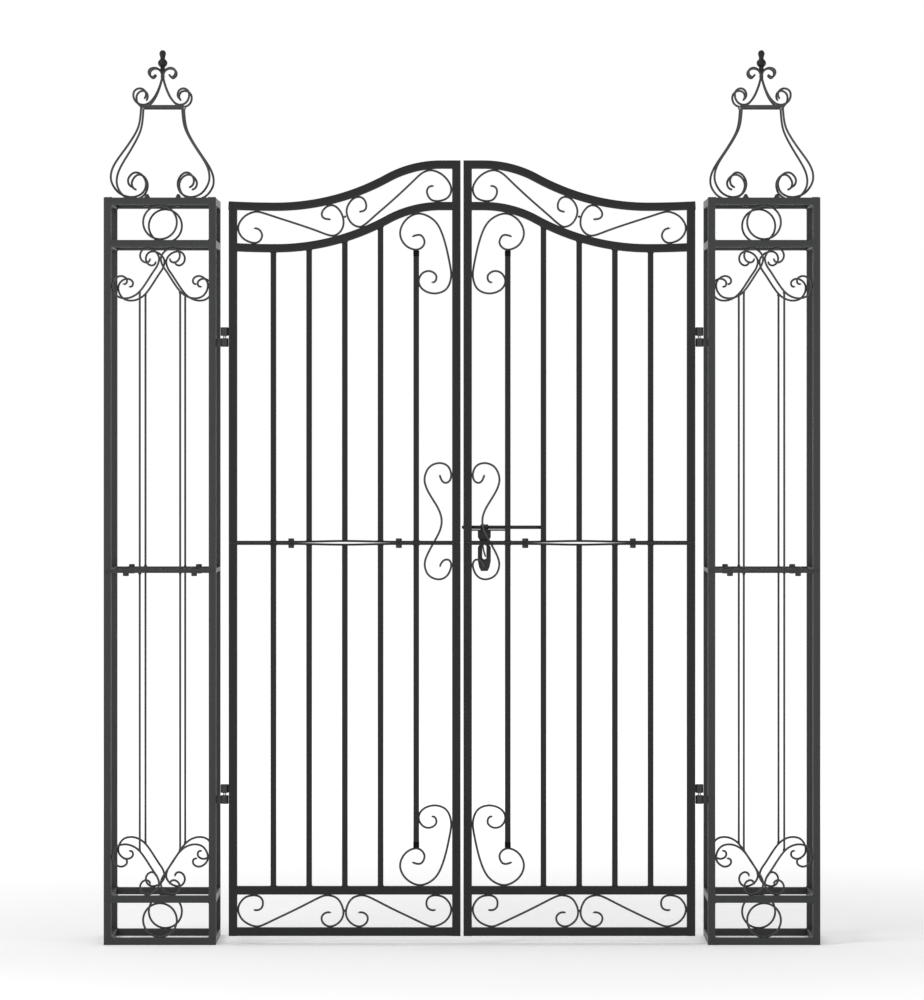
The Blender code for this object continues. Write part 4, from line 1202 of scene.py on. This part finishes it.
@dataclass
class Leaf:
    """One swinging leaf: stiles, rails, bars, a bolted joint and five pieces of scrollwork."""

    side: Side
    tube: float = 15.0
    bar: float = 10.0
    inner_u: float = 2.6
    outer_u: float = 415.4
    bottom: float = 16.0
    kick: float = 89.7
    split: float = 716.0
    y: float = -92.5
    bow: float = 1.4
    flat: float = 3.5
    gap: float = 0.3
    waist_y: float = -97.2
    pitch: float = 63.6
    first_bar: float = 81.5
    short_top: float = 1236.6
    short_bottom: float = 173.4
    drop: float = 73.9
    wire: float = 1.9
    screw_u: tuple[float, float] = (112.6, 304.3)
    mirror_z: float = 1408.5
    strap_z: float = 738.6
    cap: float = 10.0
    bead: float = 1.1
    scroll_weld: float = 2.4
    contact: float = 3.0
    edge: OgeeEdge = field(default_factory=OgeeEdge)

    @property
    def word(self) -> str:
        """The word that starts this leaf's node names."""
        return self.side.name.lower()

    @property
    def body(self) -> str:
        """The body that the leaf's pieces ride on."""
        return self.word + "_leaf"

    def at(self, u: float, z: float, y: float | None = None) -> Place:
        """Return the place of a point of the leaf."""
        return (self.side.value * u, self.y if y is None else y, z)

    def ogee_path(self, drop: float, first: float, last: float, steps: int = 64) -> Path:
        """Return the middle line of a tube bent to the ogee."""
        points = []
        for k in range(steps + 1):
            u = first + (last - first) * k / steps
            slope = self.edge.slope(u)
            inset = self.tube / 2 / math.sqrt(1 + slope * slope)
            points.append(self.at(u + slope * inset, self.edge.height(u) - drop - inset))
        return Path(points)

    def bar_places(self) -> list[float]:
        """Return the middle of each upright bar."""
        return [self.first_bar + self.pitch * k for k in range(5)]

    def flat_path(self, half: Half) -> Path:
        """Return the middle line of one of the two flats that meet at the joint."""
        first, last = self.screw_u
        points = [self.at(self.inner_u + 0.1, 0.0)]
        steps = 24
        offset = self.split + half.value * (self.gap + self.flat) / 2
        heights = [offset]
        for k in range(steps + 1):
            share = k / steps
            points.append(self.at(first + 6 + (last - first - 12) * share, 0.0))
            heights.append(offset + half.value * self.bow * math.sin(math.pi * share) ** 2)
        points.append(self.at(self.outer_u - 0.1, 0.0))
        heights.append(offset)
        return Path([(x, y, z) for (x, y, _), z in zip(points, heights)])

    def bead_round_bar(self, u: float, z: Callable[[float], float]) -> Path:
        """Return a closed path round a bar's end on a rail whose edge is at z(u)."""
        half = self.bar / 2
        corners = [(1, 1), (-1, 1), (-1, -1), (1, -1)]
        return Path([self.at(u + sx * half, z(u + sx * half), self.y + sy * half) for sx, sy in corners],
                    closed=True)

    def frame_meshes(self, shop: Workshop, half: Half) -> list[bpy.types.Mesh]:
        """Make the tubes, bars, joint flat and weld beads of one half."""
        joint = self.split + half.value * (self.gap / 2 + self.flat)
        stile_u = [self.inner_u + self.tube / 2, self.outer_u - self.tube / 2]
        rail_in, rail_out = self.inner_u + self.tube - 0.5, self.outer_u - self.tube + 0.5
        thin = self.tube - 0.2
        kick_top = self.kick + self.tube
        low_rail = self.drop + self.tube
        rails, bars, beads = [], [], []
        if half is Half.LOWER:
            stiles = [Path([self.at(u, self.bottom), self.at(u, joint)]) for u in stile_u]
            for z in (self.bottom + self.tube / 2, self.kick + self.tube / 2):
                rails.append(Path([self.at(rail_in, z), self.at(rail_out, z)]))
                for level in (z - self.tube / 2, z + self.tube / 2):
                    if level > self.bottom + 1:
                        beads += [self.end_bead(u, level) for u in (rail_in - 0.5, rail_out + 0.5)]
            for k, u in enumerate(self.bar_places()):
                low = self.short_bottom if k == 0 else kick_top - 0.5
                bars.append(Path([self.at(u, low), self.at(u, joint)]))
                if k:
                    beads.append(self.bead_round_bar(u, lambda _: kick_top))
                beads.append(self.bead_round_bar(u, lambda _: joint))
        else:
            def under(u: float) -> float:
                """Height of the lower ogee tube's underside."""
                slope = self.edge.slope(u)
                return self.edge.height(u) - self.drop - self.tube * math.sqrt(1 + slope * slope)

            tops = [self.edge.height(u) - self.tube / 2 for u in stile_u]
            stiles = [Path([self.at(u, joint), self.at(u, top)]) for u, top in zip(stile_u, tops)]
            rails = [self.ogee_path(0.0, self.inner_u, self.outer_u),
                     self.ogee_path(self.drop, rail_in, rail_out)]
            for u in (rail_in - 0.5, rail_out + 0.5):
                level = self.edge.height(u)
                beads += [self.end_bead(u, level - low_rail), self.end_bead(u, level - self.drop),
                          self.end_bead(u, level - self.tube)]
            for k, u in enumerate(self.bar_places()):
                top = self.short_top if k == 0 else under(u) + 2.0
                bars.append(Path([self.at(u, joint), self.at(u, top)]))
                if k:
                    beads.append(self.bead_round_bar(u, under))
                beads.append(self.bead_round_bar(u, lambda _: joint))
        tip = self.short_bottom if half is Half.LOWER else self.short_top
        cap = Path([self.at(self.first_bar, tip - half.value * self.cap), self.at(self.first_bar, tip)])
        cap_width = self.bar + 0.6
        return [shop.bars(stiles, self.tube, self.tube, LEAF_COAT),
                shop.bars([cap], cap_width, cap_width, TIP_BLACK, corner=1.2),
                shop.bars(rails, thin, thin, LEAF_COAT),
                shop.bars(bars, self.bar, self.bar, LEAF_COAT, corner=0.9),
                shop.bars([self.flat_path(half)], self.flat, thin, LEAF_COAT, corner=0.5),
                shop.beads(beads, self.bead, LEAF_COAT)]

    def end_bead(self, u: float, z: float) -> Path:
        """Return the short path of a bead where a rail's face meets a stile."""
        reach = self.tube / 2 - 1.0
        return Path([self.at(u, z, self.y - reach), self.at(u, z, self.y + reach)])

    def gap_to_bars(self, u: float, z: float) -> tuple[float, float, float]:
        """Return the distance to the nearest bar round a scroll, and that bar's closest point."""
        stile_in, stile_out = self.inner_u + self.tube, self.outer_u - self.tube
        levels = [self.bottom + self.tube, self.kick, self.edge.height(u) - self.tube,
                  self.edge.height(u) - self.drop, self.kick + self.tube,
                  self.edge.height(u) - self.drop - self.tube]
        spots = [(u - stile_in, stile_in, z), (stile_out - u, stile_out, z)]
        spots += [(abs(z - level), u, level) for level in levels]
        bar_low = self.short_bottom if z < self.split else self.split
        bar_high = self.split if z < self.split else self.short_top
        nearest = min(max(z, bar_low), bar_high)
        beside = max(abs(u - self.first_bar) - self.bar / 2, 0.0)
        spots.append((math.hypot(beside, z - nearest), self.first_bar, nearest))
        return min(spots)

    def scrolls(self) -> dict[str, list[list[Flat]]]:
        """Return the routes of each scroll piece, by the end of its node's name."""
        total = self.inner_u + self.outer_u
        return {"kick_scroll_pair": [BAND_SCROLL, [(total - u, z) for u, z in BAND_SCROLL]],
                "top_scroll_pair": [TOP_SCROLL_OUTER, TOP_SCROLL_INNER],
                "high_scroll": [STILE_SCROLL],
                "foot_scroll": [[(u, self.mirror_z - z) for u, z in STILE_SCROLL]],
                "waist_scroll": [WAIST_SCROLL]}

    def build(self, shop: Workshop) -> None:
        """Make every piece of the leaf and set it on the leaf's body."""
        pair_welds = {"kick_scroll_pair": (209.0, 60.5), "top_scroll_pair": (208.4, 1297.0)}
        for half in Half:
            node = "%s_leaf_%s_frame" % (self.word, half.name.lower())
            meshes = self.frame_meshes(shop, half)
            if self.side is Side.RIGHT:
                meshes += self.latch_extras(shop, half)
            shop.assemble("%s_leaf_%s_tubes" % (self.word, half.name.lower()), self.body, meshes,
                          [node])
        for label, routes in self.scrolls().items():
            y = self.waist_y if label == "waist_scroll" else self.y
            paths, welds = [], []
            for route in routes:
                bent, spots = seat_wire(smooth_route(route), self.gap_to_bars, self.wire,
                                        self.wire + self.contact)
                paths.append(Path([self.at(u, z, y) for u, z in bent]))
                welds += [self.at(u, z, y) for u, z in spots]
            if label in pair_welds:
                welds.append(self.at(*pair_welds[label], y))
            if label == "waist_scroll":
                welds.append(self.at(50.0, 716.0, y + 1))
            meshes = [shop.wires(paths, self.wire, WIRE_COAT)]
            if welds:
                meshes.append(shop.spots(welds, self.scroll_weld, WIRE_COAT))
            node = "%s_leaf_%s" % (self.word, label)
            shop.assemble(node + "_wire", self.body, meshes, [node])
        screws = ["%s_leaf_%s_screw" % (self.word, label) for label in ("inner", "outer")]
        shop.assemble(self.word + "_leaf_screws", self.body,
                      [shop.screws(screws, 2 * self.flat + self.gap)], screws)

    def latch_extras(self, shop: Workshop, half: Half) -> list[bpy.types.Mesh]:
        """Make the strap that carries the slide bolt's guides, or the staple under it."""
        if half is Half.LOWER:
            bends = [(37.0, 714.0), (37.3, 709.0), (38.6, 702.0), (42.0, 691.0)]
            return [shop.wires([Path([(x, self.y, z) for x, z in bends])], 1.6, WIRE_COAT)]
        strap = [Path([(self.inner_u + self.tube - 1, self.y + 1.2, self.strap_z),
                       (self.first_bar, self.y + 1.2, self.strap_z)])]
        return [shop.bars(strap, 2.6, 6.8, LEAF_COAT, corner=0.4)]


# ---------------------------------------------------------------- hinges
@dataclass
class Hinge:
    """A lift-off hinge: a pintle with a bright pin on the column and an eye on the leaf."""

    side: Side
    label: str
    low: float
    pivot: float = 422.9
    y: float = -92.5
    barrel: float = 15.3
    light: float = 4.2
    radius: float = 7.0
    pin: float = 3.0
    column_face: float = 438.0
    leaf_face: float = 415.4

    def barrel_profile(self, bored: bool) -> list[Flat]:
        """Return the profile of a barrel with eased edges, solid or bored right through."""
        r, h, ease = self.radius, self.barrel, 0.7
        outside = [(r - ease, 0.0), (r, ease), (r, h - ease), (r - ease, h)]
        if not bored:
            return [(0.0, 0.0), *outside, (0.0, h)]
        bore = self.pin + 0.3
        return [(bore, 0.0), *outside, (bore, h), (bore, 0.0)]

    def build(self, shop: Workshop) -> None:
        """Make both leaves of the hinge and the pin between them."""
        word = self.side.name.lower()
        x = self.side.value * self.pivot
        seat = self.low + self.barrel
        eye_low = seat + self.light

        def tab(a: float, b: float, base: float) -> bpy.types.Mesh:
            """Make the welded lug between u = a and u = b."""
            low, high = sorted((self.side.value * a, self.side.value * b))
            return shop.block((low, self.y - 3.1, base + 0.6), (high, self.y + 3.1, base + self.barrel - 0.6),
                              HINGE_COAT, 0.6)

        def seams(u: float, base: float) -> bpy.types.Mesh:
            """Make the two upright weld beads where a lug meets a tube."""
            paths = [Path([(self.side.value * u, self.y + sign * 3.0, base + 1.4),
                           (self.side.value * u, self.y + sign * 3.0, base + self.barrel - 1.4)])
                     for sign in (-1, 1)]
            return shop.beads(paths, 1.1, HINGE_COAT)

        column_side = self.column_face - 0.2
        pintle = [shop.turned(self.barrel_profile(False), (x, self.y, self.low), HINGE_COAT),
                  tab(self.pivot + 4.2, column_side, self.low), seams(column_side - 0.7, self.low)]
        name = "%s_%s_hinge" % (word, self.label)
        shop.assemble(name + "_pintle_barrel", "columns", pintle, [name + "_pintle"])
        top = self.light + self.barrel
        pin = [(0, -1), (self.pin, -1), (self.pin, top - 1.2), (self.pin - 0.8, top), (0, top)]
        shop.assemble(name + "_pin", "columns", [shop.turned(pin, (x, self.y, seat), PIN_STEEL)])
        eye = [shop.turned(self.barrel_profile(True), (x, self.y, eye_low), HINGE_COAT),
               tab(self.leaf_face + 0.2, self.pivot - 4.2, eye_low), seams(self.leaf_face + 0.8, eye_low)]
        shop.assemble(name + "_eye_barrel", word + "_leaf", eye, [name + "_eye"])


# ---------------------------------------------------------------- slide bolt
@dataclass
class SlideBolt:
    """The round bolt behind the stiles, its guides, and the slotted plate that hangs from it."""

    z: float = 743.5
    y: float = -78.5
    radius: float = 3.2
    handle_x: float = 39.8
    rivet_z: float = 749.5
    front_y: float = -100.0
    bar_front_y: float = -97.5

    def rod(self, shop: Workshop) -> None:
        """Make the bolt, with a domed tip at each end."""
        low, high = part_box("bolt_rod")
        length = (high.x - low.x) / MM
        r = self.radius
        dome = [(0, 0), (r * 0.55, 0.3), (r * 0.88, 1.2), (r, 2.6)]
        profile = [*dome, *[(radius, length - place) for radius, place in dome[::-1]]]
        rod = shop.turned(profile, (low.x / MM, self.y, self.z), BOLT_BLACK, Vector((1, 0, 0)), 32)
        shop.assemble("bolt_rod_domed", "slide_bolt", [rod], ["bolt_rod"])

    def guides(self, shop: Workshop) -> None:
        """Make the welded guide eyes and the rivet heads that show on the front of their bars."""
        for node, body, front, hole_r in (("left_keeper_eye", "left_leaf", self.front_y, 4.2),
                                          ("stile_guide_eye", "right_leaf", self.front_y, 3.5),
                                          ("bar_guide_eye", "right_leaf", self.bar_front_y, 3.5)):
            low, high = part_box(node)
            x = (low.x + high.x) / 2 / MM
            thick = (high.x - low.x) / MM
            back = low.y / MM
            outer = []
            top = self.radius + 2.3
            for k in range(25):
                angle = -math.pi / 2 + math.pi * k / 24
                outer.append((self.y + top * math.cos(angle), self.z + top * math.sin(angle)))
            outer = [(back, self.z - top), *outer, (back, self.z + top)]
            turns = [math.tau * k / 32 for k in range(32)]
            hole = [(self.y + hole_r * math.cos(turn), self.z + hole_r * math.sin(turn)) for turn in turns]
            eye = shop.plate([outer, hole], 0.0, thick, BOLT_BLACK, 0.35)
            eye.transform(Matrix.Translation((x * MM, 0, 0)) @ Matrix.Rotation(math.pi / 2, 4, "Z"))
            rivet = shop.turned(RIVET_PROFILE, (x, front, self.rivet_z), BOLT_BLACK, Vector((0, -1, 0)), 24)
            shop.assemble(node + "_cut", body, [eye, rivet], [node])

    def handle(self, shop: Workshop) -> None:
        """Make the plate with its slot, neck and knuckle."""
        x = self.handle_x
        neck, wide = 8.0, 11.6
        half = [(wide - 1.5, 738.5), (wide, 737), (wide, 726), (neck, 719.5), (neck, 713.5), (wide, 708),
                (wide, 683), (9.4, 672.5), (6.2, 665.8), (5.0, 665.4)]
        outline = [(x + v, z) for v, z in half] + [(x - v, z) for v, z in half[::-1]]
        slot = []
        for k in range(24):
            angle = math.tau * (k + 0.5) / 24
            middle = 708.3 if math.sin(angle) > 0 else 690.2
            slot.append((x + 3.7 * math.cos(angle), middle + 3.7 * math.sin(angle)))
        bore = self.radius + 0.3
        knuckle = [(bore, -7), (4.9, -7), (5.3, -6.5), (5.3, 6.5), (4.9, 7), (bore, 7), (bore, -7)]
        meshes = [shop.plate([outline, slot], self.y, 4.0, BOLT_BLACK, 0.6),
                  shop.turned(knuckle, (x, self.y, self.z), BOLT_BLACK, Vector((1, 0, 0)), 32),
                  shop.block((x - 7, self.y - 1.9, 734), (x + 7, self.y + 1.9, self.z - 4.0),
                             BOLT_BLACK, 0.5)]
        shop.assemble("drop_handle_plate", "drop_handle", meshes, ["drop_handle"])

    def build(self, shop: Workshop) -> None:
        """Make the whole latch."""
        self.rod(shop)
        self.guides(shop)
        self.handle(shop)


# ---------------------------------------------------------------- studio
@dataclass
class Studio:
    """A pale floor with a painted glow that grows with distance from the gate, soft light all round and
    brighter near the horizon, and the camera.
    """

    surround: float = 0.42
    # floor_glow and near_glow set the floor's painted glow: its strength, and the share of it near the gate.
    floor_glow: float = 0.62
    near_glow: float = 0.30
    near: float = 0.9
    far: float = 4.0
    distance: float = 10.4
    eye_height: float = 0.917
    lens: float = 208.3
    shift_y: float = -0.07
    floor_half: float = 30.0
    aim: Vector = field(default_factory=lambda: Vector((0, 0, 0.8)))

    def floor(self) -> None:
        """Lay the pale floor that the gate stands on; it glows, dimly near the gate and more further out,
        which is painted light.
        """
        shape = bmesh.new()
        bmesh.ops.create_grid(shape, x_segments=1, y_segments=1, size=self.floor_half)
        mesh = bpy.data.meshes.new("floor")
        shape.to_mesh(mesh)
        shape.free()
        paper = bpy.data.materials.new("white_paper")
        paper.use_nodes = True
        shader = paper.node_tree.nodes["Principled BSDF"]
        shader.inputs["Base Color"].default_value = (0.93, 0.93, 0.93, 1.0)
        shader.inputs["Roughness"].default_value = 0.9
        shader.inputs["Specular IOR Level"].default_value = 0.1
        place = add_node(paper.node_tree, "ShaderNodeTexCoord").outputs["Object"]
        away = add_node(paper.node_tree, "ShaderNodeVectorMath", {0: place}, operation="LENGTH")
        # Painted light: the floor's emission, weakest near the gate and full beyond the far distance, makes
        # it glow though it is no lamp, and it lights the gate from below.
        glow = add_node(paper.node_tree, "ShaderNodeMapRange",
                        {"Value": away.outputs["Value"], "From Min": self.near, "From Max": self.far,
                         "To Min": self.near_glow, "To Max": 1.0})
        paper.node_tree.links.new(glow.outputs[0], shader.inputs["Emission Color"])
        shader.inputs["Emission Strength"].default_value = self.floor_glow
        mesh.materials.append(paper)
        floor = linked("floor", mesh)

    def lights(self) -> None:
        """Hang the soft lights and set the pale surroundings."""
        world = bpy.data.worlds.new("studio")
        world.use_nodes = True
        tree = world.node_tree
        direction = add_node(tree, "ShaderNodeTexCoord").outputs["Generated"]
        parts = add_node(tree, "ShaderNodeSeparateXYZ", {"Vector": direction})
        height = add_node(tree, "ShaderNodeMath", {0: parts.outputs["Z"]}, operation="ABSOLUTE")
        band = add_node(tree, "ShaderNodeMapRange", {"Value": height.outputs[0], "From Min": 0.10,
                                                     "From Max": 0.30, "To Min": 1.0,
                                                     "To Max": self.surround})
        tree.links.new(band.outputs[0], tree.nodes["Background"].inputs["Strength"])
        tree.nodes["Background"].inputs["Color"].default_value = (1.0, 1.0, 1.0, 1.0)
        bpy.context.scene.world = world
        for name, place, size, power in (("key", (-4.2, -4.0, 4.6), 2.4, 150.0),
                                         ("fill", (4.5, -5.0, 2.6), 3.0, 40.0),
                                         ("top", (0.0, 0.5, 6.5), 4.0, 90.0)):
            lamp = bpy.data.lights.new(name, "AREA")
            lamp.size = size
            lamp.energy = power
            carrier = linked(name, lamp)
            carrier.location = place
            carrier.rotation_euler = (self.aim - Vector(place)).to_track_quat("-Z", "Y").to_euler()

    def camera(self) -> None:
        """Place the camera, level and square to the gate."""
        data = bpy.data.cameras.new("camera")
        data.lens = self.lens
        data.sensor_width = 36.0
        data.shift_y = self.shift_y
        data.clip_end = 200.0
        carrier = linked("camera", data)
        carrier.location = (0.0, -self.distance, self.eye_height)
        carrier.rotation_euler = (math.pi / 2, 0.0, 0.0)
        bpy.context.scene.camera = carrier


def column_screws(shop: Workshop) -> None:
    """Make the screws of both columns' joints and crowns as two pieces on the fixed body."""
    joints = ["%s_column_%s_%s_screw" % (side.name.lower(), face, hand) for side in Side
              for face in ("front", "back") for hand in ("left", "right")]
    crowns = ["%s_crown_%s_screw" % (side.name.lower(), hand) for side in Side for hand in ("left", "right")]
    shop.assemble("column_joint_screws", "columns", [shop.screws(joints, 7.3)], joints)
    domes = []
    for node in crowns:
        low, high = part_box(node)
        middle = ((low.x + high.x) / 2 / MM, (low.y + high.y) / 2 / MM, high.z / MM - 1.5)
        domes.append(shop.turned(DOME_NUT_PROFILE, middle, SCREW_BLACK, steps=20))
    shop.assemble("crown_screws", "columns", [shop.screws(crowns, 6.8), *domes], crowns)


def main() -> None:
    """Build the gate from the frame, then the studio round it."""
    logging.basicConfig(level=logging.INFO, format="%(name)s %(message)s")
    bpy.context.scene.view_settings.view_transform = "Standard"
    shop = Workshop()
    for side in Side:
        Column(side).build(shop)
        Crown(side).build(shop)
        Leaf(side).build(shop)
        for label, low in (("lower", 251.2), ("upper", 1065.2)):
            Hinge(side, label, low).build(shop)
    column_screws(shop)
    SlideBolt().build(shop)
    studio = Studio()
    studio.floor()
    studio.lights()
    studio.camera()


if __name__ == "__main__":
    main()
